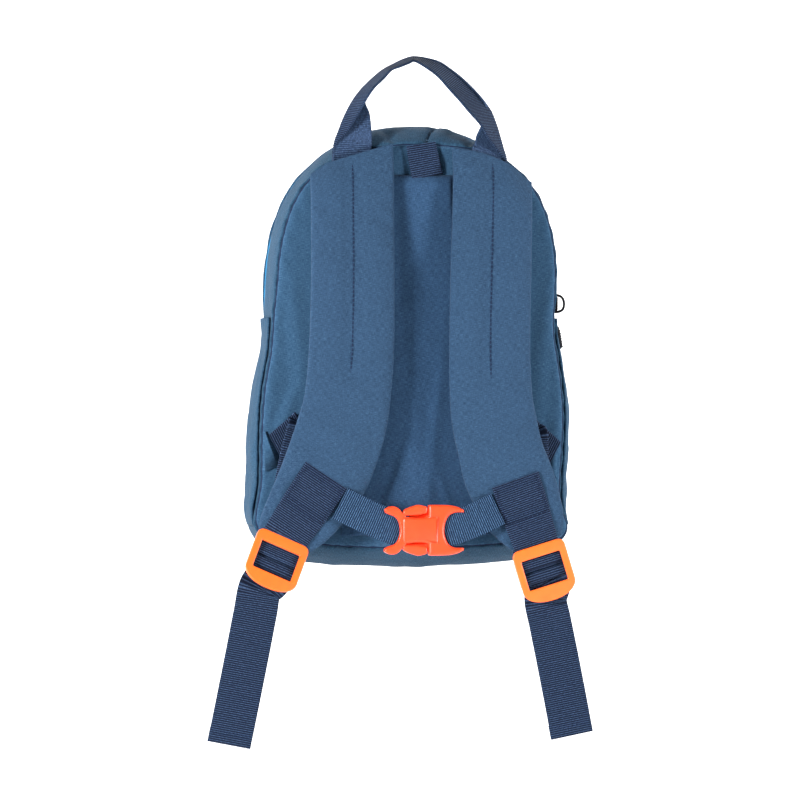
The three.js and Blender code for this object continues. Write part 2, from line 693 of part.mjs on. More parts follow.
// Out of the side tab, over in a soft fold, behind the strap, through the lock, down the tail.
function adjusterGeometry(name, hang) {
  const frame = lockFrame(hang);
  const anchor = anchors[name];
  const tab = anchorPlace(hang.side, anchor.drop, anchor.inset);
  const fold = anchorPlace(hang.side, anchor.foldDrop, anchor.foldInset);
  const strand = anchorPlace(hang.side, anchor.strandDrop, anchor.strandInset);
  const points = [];
  const across = [];
  const widths = [];
  const add = (point, direction, width = tailWidth) => {
    points.push(point);
    across.push(direction.clone());
    widths.push(width);
  };
  const at = (place, y, lift = 0) => vec(place.x, y, place.z + lift);
  const slant = vec(hang.side * 0.45, 0, 0.89).multiplyScalar(hang.side);
  const behind = backPlane - strapStandOff * 0.35;
  const onTab = backPlane - tabCloth - 2 * clearance - webbing / 2;
  const turn = webbing * 1.15;
  add(at(tab, onTab), slant, tabWidth);
  add(at(tab.clone().lerp(fold, 0.6), onTab - turn / 2), slant, tailWidth * 0.85);
  add(at(fold, behind + turn / 2), slant);
  add(at(fold, behind - turn, 0.8 * turn), vec(1, 0, hang.side * 0.5));
  add(at(fold, behind - 2.5 * turn, -0.6 * turn), vec(1, 0, hang.side * 0.4));
  add(at(strand, behind - 2.7 * turn), frame.across);
  add(frame.place(0, -lockLength * 0.56, barCentre - strapThickness * 0.83), frame.across);
  const bend = webbing + clearance;
  const route = [
    [2.4 * bend, barCentre - 2.7 * bend],
    ...arcRoute(gapMiddle - bend, barCentre - 1.6 * bend, bend, -90, 0, 3),
    ...arcRoute(slideBarStart, barCentre, wrapRadius, 180, 90, 4),
    ...arcRoute(slideBarEnd, barCentre, wrapRadius, 90, 0, 4),
    ...arcRoute(slideBarEnd + wrapRadius + bend, barCentre, bend, 180, 270, 3),
    [lockLength - lockLip + webbing, barCentre - bend],
  ];
  for (const [d, f] of route) add(frame.place(0, d, f), frame.across);
  const tail = tailFrame(hang);
  add(tail.start, frame.across);
  for (const share of [0.15, 0.4, 0.7, 1]) {
    const sway = webbing * Math.sin(Math.PI * share);
    add(tail.start.clone().addScaledVector(tail.down, share * tail.length).add(vec(0, -sway, 0)), tail.across);
  }
  return ribbonSolid(points, across, widths, webbing);
}

// Folded hem at a tail's end, stitched on its back.
function tailHemGeometry(hang) {
  const tail = tailFrame(hang);
  const back = webbing + clearance + clothGap;
  const points = [tail.length - hemLength, tail.length].map((length) => tail.start.clone()
    .addScaledVector(tail.down, length).add(vec(0, back, 0)));
  return ribbonSolid(points, [tail.across, tail.across.clone()], tailWidth, webbing);
}

// Triangular cloth tab that holds the adjusting webbing in the side seam.
function tabGeometry(name, side) {
  const tab = anchorPlace(side, anchors[name].drop, anchors[name].inset);
  const y = backPlane - clearance;
  const seamX = side * (halfWidthAt(tab.z) - sideInset - tabCloth) + middleX(tab.z, 0);
  const inner = tab.x - side * tabWidth * 0.17;
  const corners = [[seamX, 0.6], [inner, -0.23], [inner + side * tabCloth, -0.73], [seamX, -0.93]]
    .map(([x, rise]) => [x, tab.z + rise * tabWidth]);
  const rings = [y, y - tabCloth].map((depth) => corners.map(([x, z]) => vec(x, depth, z)));
  return loftSolid(rings);
}

// Chest webbing from beside the patch to the buckle.
const buckleCentre = vec(buckleOut, frontOfEnd - buckleThickness * 0.59, -strapTopDrop - buckleDropShare * strapLength);
const chestEnd = buckleLength / 4;

function chestGeometry(hang) {
  const { origin } = lockFrame(hang);
  const lean = radians(hang.patchLean);
  const up = leanDown(hang.side, lean).multiplyScalar(-1);
  const inward = leanAcross(hang.side, lean).multiplyScalar(-hang.side);
  const start = origin.clone().addScaledVector(up, hang.chestShare * hang.patch * lockLength)
    .addScaledVector(inward, patchWidth / 2 + clearance + clothGap).add(vec(0, -buckleThickness * 0.48, 0));
  const mouth = buckleCentre.clone().add(vec(hang.side * (buckleLength / 2 + webbing), 0, 0));
  const along = mouth.clone().sub(start).normalize();
  const square = vec(-along.z, 0, along.x).multiplyScalar(-hang.side);
  const points = [];
  const across = [];
  const stops = 6;
  for (let i = 0; i <= stops; i += 1) {
    const t = i / stops;
    const sag = chestSag * Math.sin(Math.PI * t);
    points.push(start.clone().lerp(mouth, t).add(vec(0, -sag, -sag)));
    across.push(square.clone().lerp(vec(0, 0, 1), smooth(2 * t - 1)));
  }
  points.push(buckleCentre.clone().add(vec(hang.side * chestEnd, 0, 0)));
  across.push(vec(0, 0, 1));
  return ribbonSolid(points, across, chestWidth, webbing);
}

// Side-release buckle, drawn about its centre with +X to the right.
function bucklePlate(points, half) {
  const shape = new THREE.Shape();
  points.forEach(([x, z], i) => (i ? shape.lineTo(x, z) : shape.moveTo(x, z)));
  shape.closePath();
  return toManifold(plateGeometry(shape, -half, half));
}

// Right-hand half outlines: a row per corner, as shares of half the buckle's length and height.
const femaleCorners = [
  [-0.46, 0], [-0.46, 0.52], [0.1, 0.52], [0.12, 0.98], [0.34, 1], [0.62, 0.98], [0.84, 0.9], [1, 0.74],
  [0.98, 0.69], [0.76, 0.68], [0.64, 0.4], [0.6, 0],
];
const maleCorners = [
  [-0.49, 0], [-0.49, 0.6], [0.06, 0.6], [0.07, 0.86], [-0.08, 1.02], [-0.3, 1], [-0.48, 0.9],
  [-0.74, 0.99], [-0.95, 0.86], [-1, 0.74], [-0.98, 0.69], [-0.76, 0.68], [-0.64, 0.4], [-0.6, 0],
];

function mirrored(corners) {
  const scaled = corners.map(([u, v]) => [(u * buckleLength) / 2, (v * buckleHeight) / 2]);
  const lower = scaled.slice(1, -1).map(([x, z]) => [x, -z]).reverse();
  return [...scaled, ...lower];
}

// Both halves have a slot at their outer end that takes the chest webbing.
function buckleHalf(corners, side, half) {
  const slotHeight = chestWidth / 2 + clearance;
  const outer = side * buckleLength;
  const inner = side * (chestEnd - clearance);
  const shape = rectangle(Math.min(outer, inner), Math.max(outer, inner), -slotHeight, slotHeight);
  const slot = toManifold(plateGeometry(shape, -webbing / 2 - clearance, webbing / 2 + clearance));
  return fromManifold(bucklePlate(mirrored(corners), half).subtract(slot)).translate(...buckleCentre.toArray());
}

// Grab handle: a row per section, with far the fold on the outline, near the edge towards the viewer
// and root the edge behind it. Each is [across, up, back] as shares of handleSpan, handleRise and wideWebbing.
const handleTable = [
  { root: [-0.55, -1.24, -0.94], far: [-0.97, -1.26, -0.94], near: [-1, -1.26, -0.94] },
  { root: [-0.55, -0.95, -0.94], far: [-1, -0.98, -0.94], near: [-0.98, -0.99, -0.99] },
  { root: [-0.55, -0.8, -0.9], far: [-0.93, -0.77, -0.84], near: [-0.83, -0.8, -1.02] },
  { root: [-0.56, -0.61, -0.78], far: [-0.84, -0.59, -0.66], near: [-0.72, -0.62, -1.06] },
  { root: [-0.6, -0.48, -0.62], far: [-0.735, -0.43, -0.48], near: [-0.63, -0.455, -1.1] },
  { root: [-0.585, -0.3, -0.4], far: [-0.61, -0.295, -0.2], near: [-0.54, -0.32, -1.1] },
  { root: [-0.47, -0.195, -0.2], far: [-0.49, -0.185, 0], near: [-0.415, -0.205, -0.92] },
  { root: [-0.345, -0.085, 0], far: [-0.36, -0.08, 0.2], near: [-0.31, -0.1, -0.74] },
  { root: [-0.22, -0.015, 0.12], far: [-0.23, -0.005, 0.34], near: [-0.2, -0.055, -0.6] },
  { root: [-0.08, 0.06, 0.24], far: [-0.07, 0.07, 0.44], near: [-0.09, -0.01, -0.52] },
  { root: [0.05, 0.09, 0.28], far: [0.07, 0.1, 0.48], near: [-0.02, 0.014, -0.48] },
  { root: [0.29, 0.035, 0.24], far: [0.32, 0.055, 0.44], near: [0.13, -0.07, -0.48] },
  { root: [0.43, -0.06, 0.16], far: [0.465, -0.035, 0.36], near: [0.255, -0.17, -0.52] },
  { root: [0.58, -0.19, 0.04], far: [0.615, -0.16, 0.24], near: [0.375, -0.315, -0.6] },
  { root: [0.745, -0.37, -0.16], far: [0.78, -0.355, 0.04], near: [0.49, -0.46, -0.76] },
  { root: [0.8, -0.52, -0.34], far: [0.885, -0.51, -0.16], near: [0.575, -0.58, -0.92] },
  { root: [0.74, -0.7, -0.56], far: [0.935, -0.685, -0.42], near: [0.69, -0.72, -1.02] },
  { root: [0.665, -0.84, -0.72], far: [0.96, -0.84, -0.66], near: [0.77, -0.865, -1.06] },
  { root: [0.63, -0.94, -0.88], far: [0.985, -0.99, -0.82], near: [0.86, -0.98, -1.06] },
  { root: [0.6, -0.98, -0.94], far: [1.01, -1.12, -0.94], near: [0.96, -1.11, -0.98] },
  { root: [0.58, -1.2, -0.94], far: [0.98, -1.26, -0.94], near: [1, -1.26, -0.94] },
];

function handleGeometry() {
  const place = ([across, up, back]) => vec(across * handleSpan, back * wideWebbing, up * handleRise);
  const middle = handleTable.map((row) => [place(row.root), place(row.far), place(row.near)]);
  const side = (sign) => middle.map((row, i) => {
    const before = middle[Math.max(0, i - 1)];
    const after = middle[Math.min(middle.length - 1, i + 1)];
    const along = after[1].clone().sub(before[1]).normalize();
    const leaf = (a, b) => new THREE.Vector3().crossVectors(along, b.clone().sub(a)).normalize();
    const back = leaf(row[0], row[1]);
    const flap = leaf(row[1], row[2]);
    const bisector = back.clone().add(flap);
    const spread = Math.max(0.35, bisector.length() / 2);
    const shift = (point, normal, size) => point.clone().add(normal.clone().multiplyScalar(sign * size));
    return [
      shift(row[0], back, webbing / 2),
      shift(row[1], bisector.normalize(), webbing / 2 / spread),
      shift(row[2], flap, webbing / 2),
    ];
  });
  return sheetSolid(side(1), side(-1));
}

function reinGeometry() {
  const y = backPlane - clothGap - webbing / 2;
  const points = [vec(-0.8, y, -reinDrop), vec(0, y - 0.6, -(reinDrop + padTopDrop) / 2), vec(0.6, y - 0.8, -padTopDrop + clearance)];
  return ribbonSolid(points, points.map(() => vec(1, 0, 0)), reinWidth, webbing);
}

// Zip slider on the right side and the puller that swings on its bridge.
const zipFace = gussetPoint(lengthAtDrop(sliderDrop), 0.5);
const sliderTop = zipFace.x + clearance + sliderHeight;
const pivotX = sliderTop + clearance + pullerBar / 2;
const bridgeInside = pullerBar + 2 * clearance;
const wallSlope = Math.atan2(halfWidthAt(-sliderDrop - pullerLength) - halfWidthAt(-sliderDrop), pullerLength);
const pullerLean = radians(pullerTilt) + wallSlope;
const pivotZ = -sliderDrop - bridgeLength / 2 + bridgeWire + pullerBar / 2 + clearance;

function sliderGeometry() {
  const foot = sliderTop - sliderHeight;
  const outline = [
    [foot, -sliderLength / 2], [sliderTop, -sliderLength / 2], [sliderTop, sliderLength / 2], [foot, sliderLength / 2],
  ];
  const half = bridgeLength / 2;
  const crown = sliderTop + bridgeInside + bridgeWire;
  const arch = [
    [sliderTop - 0.6, -half], [crown - 1, -half], [crown, -half + 1], [crown, half - 1], [crown - 1, half], [sliderTop - 0.6, half],
    [sliderTop - 0.6, half - bridgeWire], [crown - bridgeWire, half - bridgeWire],
    [crown - bridgeWire, -half + bridgeWire], [sliderTop - 0.6, -half + bridgeWire],
  ];
  const solid = (points, width) => {
    const shape = new THREE.Shape();
    points.forEach(([x, z], i) => (i ? shape.lineTo(x, z) : shape.moveTo(x, z)));
    shape.closePath();
    return toManifold(plateGeometry(shape, -width / 2, width / 2));
  };
  const joined = solid(outline, sliderWidth).add(solid(arch, bridgeWire));
  return fromManifold(joined).translate(0, zipFace.y, -sliderDrop);
}

function pullerGeometry() {
  const half = pullerWidth / 2;
  const bar = pullerBar / 2;
  const eye = bridgeLength + pullerEyeSlack;
  const shape = rectangle(-half, half, -pullerLength, bar);
  const plate = new THREE.ExtrudeGeometry(shape, { depth: pullerBar, bevelEnabled: false });
  const hole = new THREE.ExtrudeGeometry(rectangle(-bridgeWire / 2 - 0.5, bridgeWire / 2 + 0.5, -eye - bar, -bar),
    { depth: pullerBar * 3, bevelEnabled: false });
  plate.translate(0, 0, -bar);
  hole.translate(0, 0, -3 * bar);
  const geometry = fromManifold(toManifold(plate).subtract(toManifold(hole)));
  geometry.applyMatrix4(new THREE.Matrix4().makeBasis(vec(0, 1, 0), vec(0, 0, 1), vec(1, 0, 0)));
  geometry.rotateY(-pullerLean);
  return geometry.translate(pivotX, zipFace.y, pivotZ);
}

// Materials.
const material = (color, roughness, metalness = 0) => new THREE.MeshStandardMaterial({ color, roughness, metalness });
const bodyCloth = material(0x375a82, 0.9);
const gussetCloth = material(0x325a69, 0.9);
const strapWebbing = material(0x283c69, 0.8);
const buckleOrange = material(0xff6437, 0.4);
const lockOrange = material(0xff8c3c, 0.4);
const zipTape = material(0x1e9bc8, 0.7);
const darkMetal = material(0x202226, 0.35, 0.9);

const backpack = new THREE.Group();
function add(name, geometry, look) {
  const mesh = new THREE.Mesh(geometry, look);
  mesh.name = name;
  backpack.add(mesh);
}

add('gusset', gussetGeometry(), gussetCloth);
add('back_panel', panelGeometry(0, -1, backBulge), bodyCloth);
add('front_panel', panelGeometry(1, 1, frontBulge), bodyCloth);
add('back_pad', backPadGeometry(), bodyCloth);
add('main_zip', zipGeometry(), zipTape);
add('zip_slider', sliderGeometry(), darkMetal);
add('zip_puller', pullerGeometry(), darkMetal);
add('grab_handle', handleGeometry(), strapWebbing);
add('rein_webbing', reinGeometry(), strapWebbing);
for (const [name, hang] of Object.entries(hangs)) {
  add(`side_pocket_${name}`, pocketGeometry(hang.side), gussetCloth);
  add(`shoulder_strap_${name}`, strapGeometry(name, hang.side), bodyCloth);
  add(`strap_patch_${name}`, patchGeometry(hang), strapWebbing);
  add(`ladder_lock_${name}`, orientedGeometry(lockGeometry(), lockFrame(hang)), lockOrange);
  add(`adjust_webbing_${name}`, adjusterGeometry(name, hang), strapWebbing);
  add(`tail_hem_${name}`, tailHemGeometry(hang), strapWebbing);
  add(`anchor_tab_${name}`, tabGeometry(name, hang.side), bodyCloth);
  add(`chest_webbing_${name}`, chestGeometry(hang), strapWebbing);
}
add('buckle_female', buckleHalf(femaleCorners, 1, buckleThickness / 2), buckleOrange);
add('buckle_male', buckleHalf(maleCorners, -1, buckleThickness / 2 - 1), buckleOrange);

export default backpack;
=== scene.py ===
import math

import bpy
import numpy as np
from mathutils import Matrix, Vector, noise


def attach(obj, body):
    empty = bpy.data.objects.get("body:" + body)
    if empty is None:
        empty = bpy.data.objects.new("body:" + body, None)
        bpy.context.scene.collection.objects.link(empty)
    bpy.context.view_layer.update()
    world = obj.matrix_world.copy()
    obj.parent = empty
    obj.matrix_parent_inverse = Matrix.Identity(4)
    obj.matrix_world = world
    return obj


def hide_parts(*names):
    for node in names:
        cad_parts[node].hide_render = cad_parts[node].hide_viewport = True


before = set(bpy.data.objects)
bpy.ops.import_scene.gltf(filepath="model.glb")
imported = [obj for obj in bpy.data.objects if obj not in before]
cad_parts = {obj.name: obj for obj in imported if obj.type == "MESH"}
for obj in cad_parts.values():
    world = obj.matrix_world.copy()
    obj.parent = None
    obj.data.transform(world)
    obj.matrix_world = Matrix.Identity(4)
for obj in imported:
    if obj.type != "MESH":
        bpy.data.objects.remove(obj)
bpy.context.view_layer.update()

# Lengths in this script are millimetres in the CAD frame, and become metres when a mesh is made.
MM = 0.001

# Driving sizes, the same as the frame's.
CLEARANCE, CLOTH_GAP, CLOTH, POCKET_CLOTH, WEBBING = 0.3, 0.5, 1.6, 1.2, 1.4
CREST_DROP, BAG_HEIGHT, ARCH_RISE = 36.3, 249.5, 84.7
ARCH_HALF_WIDTH, BASE_HALF_WIDTH, FLARE_DROP = 82.2, 87, 100
BOTTOM_CORNER, BOTTOM_SAG, ARCH_ROUNDNESS = 22, 3.5, 2.2
SHOULDER_SLUMP, BAG_SHIFT, BACK_TWIST = 2.6, -1.8, 3
BACK_SEAM_Y, TOP_DEPTH, BASE_DEPTH = -20, 58, 76
SIDE_INSET, FRONT_SIDE_INSET = 2.5, 7
TOP_INSET, TOP_INSET_FALL, BOTTOM_INSET, GUSSET_ROUNDNESS = 11, 5, 11, 2.2
BACK_BULGE, FRONT_BULGE = 3, 14
ZIP_WIDTH, ZIP_END_DROP, SLIDER_DROP = 7, 141, 136
POCKET_HEM_DROP, POCKET_FOOT_DROP, POCKET_PUFF, POCKET_EDGE = 145, 262, 3, 0.06
PAD_HALF_WIDTH, PAD_TOP_DROP, PAD_BOTTOM_DROP, PAD_THICKNESS = 45, 64.5, 268, 4
STRAP_TOP_DROP, STRAP_LENGTH, STRAP_SPACING = 54, 218, 40
STRAP_WIDTH, STRAP_THICKNESS, STRAP_STAND_OFF = 47, 8, 14
STRAP_SEAM_GAP, STRAP_BLEND, STRAP_END_SHARE = 1, 0.2, 0.56
WIDE_WEBBING, PATCH_WIDTH, PATCH_END_WIDTH, TAIL_WIDTH, TAB_WIDTH = 25, 28, 25.8, 24.4, 15
HANDLE_SPAN, HANDLE_RISE = 50, 50
REIN_WIDTH, REIN_DROP = 14, 47.5
LOCK_WIDTH, LOCK_LENGTH, LOCK_PLATE, LOCK_RAIL = 31, 32, 2, 2.6
LOCK_BAND, LOCK_LIP, LOCK_BAR, LOCK_BAR_LENGTH, LOCK_DEPTH = 6.5, 8.5, 2.2, 3.6, 4.2
HEM_LENGTH, TAB_CLOTH = 8, 1
CHEST_WIDTH, CHEST_SAG = 19, 0.8
BUCKLE_LENGTH, BUCKLE_THICKNESS = 45.5, 7.5
RIB_PITCH, RIB_HEIGHT = 1.2, 0.16
BACK_PLANE = BACK_SEAM_Y - CLOTH_GAP - CLOTH
CENTRE_Z = -(CREST_DROP + BAG_HEIGHT / 2)


def lerp(a, b, t):
    return a + (b - a) * t


def smooth(t):
    t = np.clip(t, 0, 1)
    return t * t * (3 - 2 * t)


def unit(v):
    return v / np.maximum(np.linalg.norm(v, axis=-1, keepdims=True), 1e-9)


def fractal(p, size, seed=0.0):
    """Soft noise between about -1 and 1 at a place in millimetres."""
    return noise.fractal(Vector((p[0] / size + seed, p[1] / size, p[2] / size)), 1.0, 2.0, 3)


# Meshes.
def new_object(name, verts, faces, uvs=None, material=None, flat=False):
    mesh = bpy.data.meshes.new(name)
    corners = [tuple(v * MM) for v in np.asarray(verts, float)]
    mesh.from_pydata(corners, [], [tuple(int(i) for i in face) for face in faces])
    if uvs is not None:
        layer = mesh.uv_layers.new(name="millimetres")
        loops = np.empty(len(mesh.loops), dtype=np.int32)
        mesh.loops.foreach_get("vertex_index", loops)
        layer.data.foreach_set("uv", np.asarray(uvs, np.float32)[loops].ravel())
    mesh.polygons.foreach_set("use_smooth", [not flat] * len(mesh.polygons))
    mesh.update()
    thing = bpy.data.objects.new(name, mesh)
    bpy.context.scene.collection.objects.link(thing)
    if material:
        mesh.materials.append(material)
    return thing


def face_outwards(thing):
    """Turns the faces round where the mesh is inside out."""
    mesh = thing.data
    volume = 0.0
    for poly in mesh.polygons:
        corners = [mesh.vertices[i].co for i in poly.vertices]
        for i in range(1, len(corners) - 1):
            volume += corners[0].dot(corners[i].cross(corners[i + 1]))
    if volume < 0:
        mesh.flip_normals()
    return thing


def two_sheets(name, outer, inner, uvs, material, loop=False, keep=None):
    """A closed sheet from grids of points on its two faces; keep says which squares are there."""
    rows, cols = outer.shape[:2]
    half = rows * cols
    last = rows if loop else rows - 1
    present = np.ones((last, cols - 1), bool) if keep is None else keep
    faces = []

    def there(i, j):
        if j < 0 or j >= cols - 1:
            return False
        if loop:
            return present[i % last, j]
        return 0 <= i < last and present[i, j]

    for i in range(last):
        k = (i + 1) % rows
        for j in range(cols - 1):
            if not present[i, j]:
                continue
            a, b, c, d = i * cols + j, k * cols + j, k * cols + j + 1, i * cols + j + 1
            faces += [(a, b, c, d), (a + half, d + half, c + half, b + half)]
            if not there(i - 1, j):
                faces.append((a, d, d + half, a + half))
            if not there(i + 1, j):
                faces.append((b, b + half, c + half, c))
            if not there(i, j - 1):
                faces.append((a, a + half, b + half, b))
            if not there(i, j + 1):
                faces.append((d, c, c + half, d + half))
    verts = np.concatenate([outer.reshape(-1, 3), inner.reshape(-1, 3)])
    uv_all = np.concatenate([uvs.reshape(-1, 2)] * 2)
    return face_outwards(new_object(name, verts, faces, uv_all, material))


def shell(name, grid, thickness, uvs, material, loop=False, keep=None):
    """A cloth sheet from a grid of points on its outer face; the inner face lies below by the thickness."""
    if loop:
        along = np.roll(grid, -1, 0) - np.roll(grid, 1, 0)
    else:
        along = np.gradient(grid, axis=0)
    normal = unit(np.cross(along, np.gradient(grid, axis=1)))
    return two_sheets(name, grid, grid + normal * thickness, uvs, material, loop, keep)


def loft(name, rings, uvs, material):
    """A closed skin through rings of points, with a face over each end."""
    rings = np.asarray(rings)
    rows, cols = rings.shape[:2]
    faces = []
    for i in range(rows - 1):
        for j in range(cols):
            k = (j + 1) % cols
            faces.append((i * cols + j, (i + 1) * cols + j, (i + 1) * cols + k, i * cols + k))
    faces.append(tuple(range(cols)))
    faces.append(tuple(reversed(range((rows - 1) * cols, rows * cols))))
    uvs = np.asarray(uvs).reshape(-1, 2)
    return face_outwards(new_object(name, rings.reshape(-1, 3), faces, uvs, material))


def spline(points, steps):
    """Catmull-Rom through rows of numbers, with a number of steps from each row to the next."""
    points = np.asarray(points, float)
    padded = np.vstack([2 * points[0] - points[1], points, 2 * points[-1] - points[-2]])
    out = []
    for i in range(len(points) - 1):
        a, b, c, d = padded[i:i + 4]
        for k in range(steps):
            t = k / steps
            out.append(0.5 * (2 * b + (c - a) * t + (2 * a - 5 * b + 4 * c - d) * t ** 2
                              + (3 * b - a - 3 * c + d) * t ** 3))
    out.append(points[-1])
    return np.array(out)


def lengths_along(points):
    steps = np.linalg.norm(np.diff(points, axis=0), axis=1)
    return np.concatenate([[0], np.cumsum(steps)])


def resample(points, step, *others):
    """Even steps along a path, for its points and for other rows that belong to them."""
    lengths = lengths_along(points)
    count = max(2, int(round(lengths[-1] / step)) + 1)
    at = np.linspace(0, lengths[-1], count)

    def pick(rows):
        return np.stack([np.interp(at, lengths, rows[:, c]) for c in range(rows.shape[1])], 1)

    return [at, pick(points)] + [pick(rows) for rows in others]


# The bag's outline, as the frame has it.
def half_width_at(z):
    below = -(CREST_DROP + ARCH_RISE) - z
    return lerp(ARCH_HALF_WIDTH, BASE_HALF_WIDTH, smooth(below / FLARE_DROP))


def half_outline():
    """The right half of the outline, from the crest to the middle of the bottom."""
    shoulder = -(CREST_DROP + ARCH_RISE)
    bottom = -(CREST_DROP + BAG_HEIGHT)
    corner_top = bottom + BOTTOM_SAG + BOTTOM_CORNER
    corner_x = BASE_HALF_WIDTH - BOTTOM_CORNER
    angle = np.linspace(0, math.pi / 2, 120)
    power = 2 / ARCH_ROUNDNESS
    arch_x = ARCH_HALF_WIDTH * np.sin(angle) ** power
    arch = np.stack([arch_x, shoulder + ARCH_RISE * np.cos(angle) ** power], 1)
    z = np.linspace(shoulder, corner_top, 120)[1:]
    side = np.stack([half_width_at(z), z], 1)
    turn = np.linspace(0, math.pi / 2, 60)[1:]
    turn_x = corner_x + BOTTOM_CORNER * np.cos(turn)
    corner = np.stack([turn_x, corner_top - BOTTOM_CORNER * np.sin(turn)], 1)
    x = np.linspace(corner_x, 0, 80)[1:]
    base = np.stack([x, bottom + BOTTOM_SAG * (x / corner_x) ** 2], 1)
    return np.vstack([arch, side, corner, base])


OUTLINE = half_outline()
OUTLINE_AT = lengths_along(OUTLINE)
HALF_GIRTH = OUTLINE_AT[-1]


def lengths_round(rows):
    """Signed lengths from the crest, down the right side and back up the left."""
    return np.concatenate([np.linspace(0, HALF_GIRTH, rows // 2, endpoint=False),
                           -np.linspace(HALF_GIRTH, 0, rows // 2, endpoint=False)])


def outline_place(along):
    return np.interp(along, OUTLINE_AT, OUTLINE[:, 0]), np.interp(along, OUTLINE_AT, OUTLINE[:, 1])


def outline_at(length):
    """Places and outward normals at signed lengths from the crest."""
    length = np.asarray(length, float)
    mirror = np.where(length < 0, -1.0, 1.0)
    along = np.minimum(np.abs(length), HALF_GIRTH)
    x, z = outline_place(along)
    reach = 5.0
    high_x, high_z = outline_place(np.minimum(along + reach, HALF_GIRTH))
    low_x, low_z = outline_place(np.maximum(along - reach, 0))
    dx, dz = high_x - low_x, high_z - low_z
    dz = np.where(along < reach, dz * along / reach, dz)
    dz = np.where(along > HALF_GIRTH - reach, dz * (HALF_GIRTH - along) / reach, dz)
    size = np.hypot(dx, dz)
    nx, nz = mirror * -dz / size, dx / size
    share = along / (ARCH_HALF_WIDTH + ARCH_RISE)
    slump = np.where(length < 0, SHOULDER_SLUMP * smooth(share * 2.5) * smooth((1 - share) * 2.5), 0)
    return mirror * x - nx * slump, z - nz * slump, nx, nz


def middle_x(z, share):
    """Sideways place of the bag's middle: below the arch the back hangs to the left of the front."""
    below = -(CREST_DROP + ARCH_RISE) - z
    return BAG_SHIFT - BACK_TWIST * smooth(below / (ARCH_RISE / 2)) * (1 - 2 * share)


def length_at_drop(drop):
    """Length along the outline at a drop below the origin."""
    i = int(np.argmax(OUTLINE[:, 1] <= -drop))
    share = (-drop - OUTLINE[i - 1, 1]) / (OUTLINE[i, 1] - OUTLINE[i - 1, 1])
    return lerp(OUTLINE_AT[i - 1], OUTLINE_AT[i], share)


def depth_at(z):
    return lerp(TOP_DEPTH, BASE_DEPTH, smooth((-CREST_DROP - z) / BAG_HEIGHT))


# Where the bag's side walls stand out or draw in: side, height, reach along the side and amount.
SIDE_SWELLS = [(-1, -160, 19, -2.6), (1, -192, 38, 3.2), (-1, -258, 13, 3.4), (1, -267, 12, 6.0),
               (1, -150, 14, -0.6)]


def side_swell(length, z):
    """How far the side wall stands out beyond the plain outline."""
    out = 0.0
    for side, middle, reach, amount in SIDE_SWELLS:
        out = out + amount * (np.sign(length) == side) * np.exp(-((z - middle) / reach) ** 2)
    return out


def gusset_points(length, share, lift=0.0):
    """Places on the gusset: length from the crest and share of the depth, lifted off it."""
    x, z, nx, nz = outline_at(length)
    lift = lift + side_swell(length, z) * nx ** 2
    vertical = np.where(nz > 0, TOP_INSET * np.abs(nz) ** TOP_INSET_FALL, BOTTOM_INSET * nz ** 2)
    inset = np.where(share < 0.5, SIDE_INSET, FRONT_SIDE_INSET) * nx ** 2 + vertical
    move = lift - inset * np.abs(2 * share - 1) ** GUSSET_ROUNDNESS
    y = BACK_SEAM_Y + share * depth_at(z)
    return np.stack([x + nx * move + middle_x(z, share), y + 0 * x, z + nz * move], -1)


ZIP_END = length_at_drop(ZIP_END_DROP)


# Materials. Thread scales are turns of the noise for each millimetre.
CLOTH_ROUGH, CLOTH_CONTRAST, WEFT_SHARE = 0.9, 0.8, 0.6
SLUB_SCALE, THREAD_SCALE, CLOUD_SCALE, WEAVE_PITCH, YARN_PITCH = 0.4, 4.6, 0.05, 0.9, 0.75


def nodes_of(name):
    mat = bpy.data.materials.new(name)
    mat.use_nodes = True
    tree = mat.node_tree
    return mat, tree, tree.nodes["Principled BSDF"]


def link(tree, out, into):
    tree.links.new(out, into)


def add_node(tree, kind, **values):
    node = tree.nodes.new(kind)
    for key, value in values.items():
        if key.startswith("in_"):
            node.inputs[key[3:]].default_value = value
        else:
            setattr(node, key, value)
    return node


def math_node(tree, operation, a, b=None, c=None):
    node = tree.nodes.new("ShaderNodeMath")
    node.operation = operation
    for i, value in enumerate((a, b, c)):
        if value is None:
            continue
        if isinstance(value, (int, float)):
            node.inputs[i].default_value = value
        else:
            link(tree, value, node.inputs[i])
    return node.outputs[0]


def mixed(tree, share, a, b):
    node = tree.nodes.new("ShaderNodeMix")
    node.data_type = "RGBA"
    for socket, value in ((node.inputs[0], share), (node.inputs[6], a), (node.inputs[7], b)):
        if isinstance(value, (int, float)):
            socket.default_value = value
        elif isinstance(value, tuple):
            socket.default_value = (*value, 1)
        else:
            link(tree, value, socket)
    return node.outputs[2]


def from_srgb(r, g, b):
    return tuple(((c / 255 + 0.055) / 1.055) ** 2.4 if c > 10 else c / 255 / 12.92 for c in (r, g, b))


def streaks(tree, uv, across, along, seed):
    """Thread streaks: noise stretched along one thread direction."""
    mapping = add_node(tree, "ShaderNodeMapping")
    mapping.inputs["Scale"].default_value = (across, along, 1)
    mapping.inputs["Location"].default_value = (seed, seed * 2.3, 0)
    link(tree, uv, mapping.inputs["Vector"])
    tex = add_node(tree, "ShaderNodeTexNoise", in_Scale=1.0, in_Detail=3.0, in_Roughness=0.6)
    link(tree, mapping.outputs[0], tex.inputs["Vector"])
    return tex.outputs["Fac"]


def bump_from(tree, height, bsdf, strength, distance):
    bump = add_node(tree, "ShaderNodeBump", in_Strength=strength, in_Distance=distance)
    link(tree, height, bump.inputs["Height"])
    link(tree, bump.outputs[0], bsdf.inputs["Normal"])


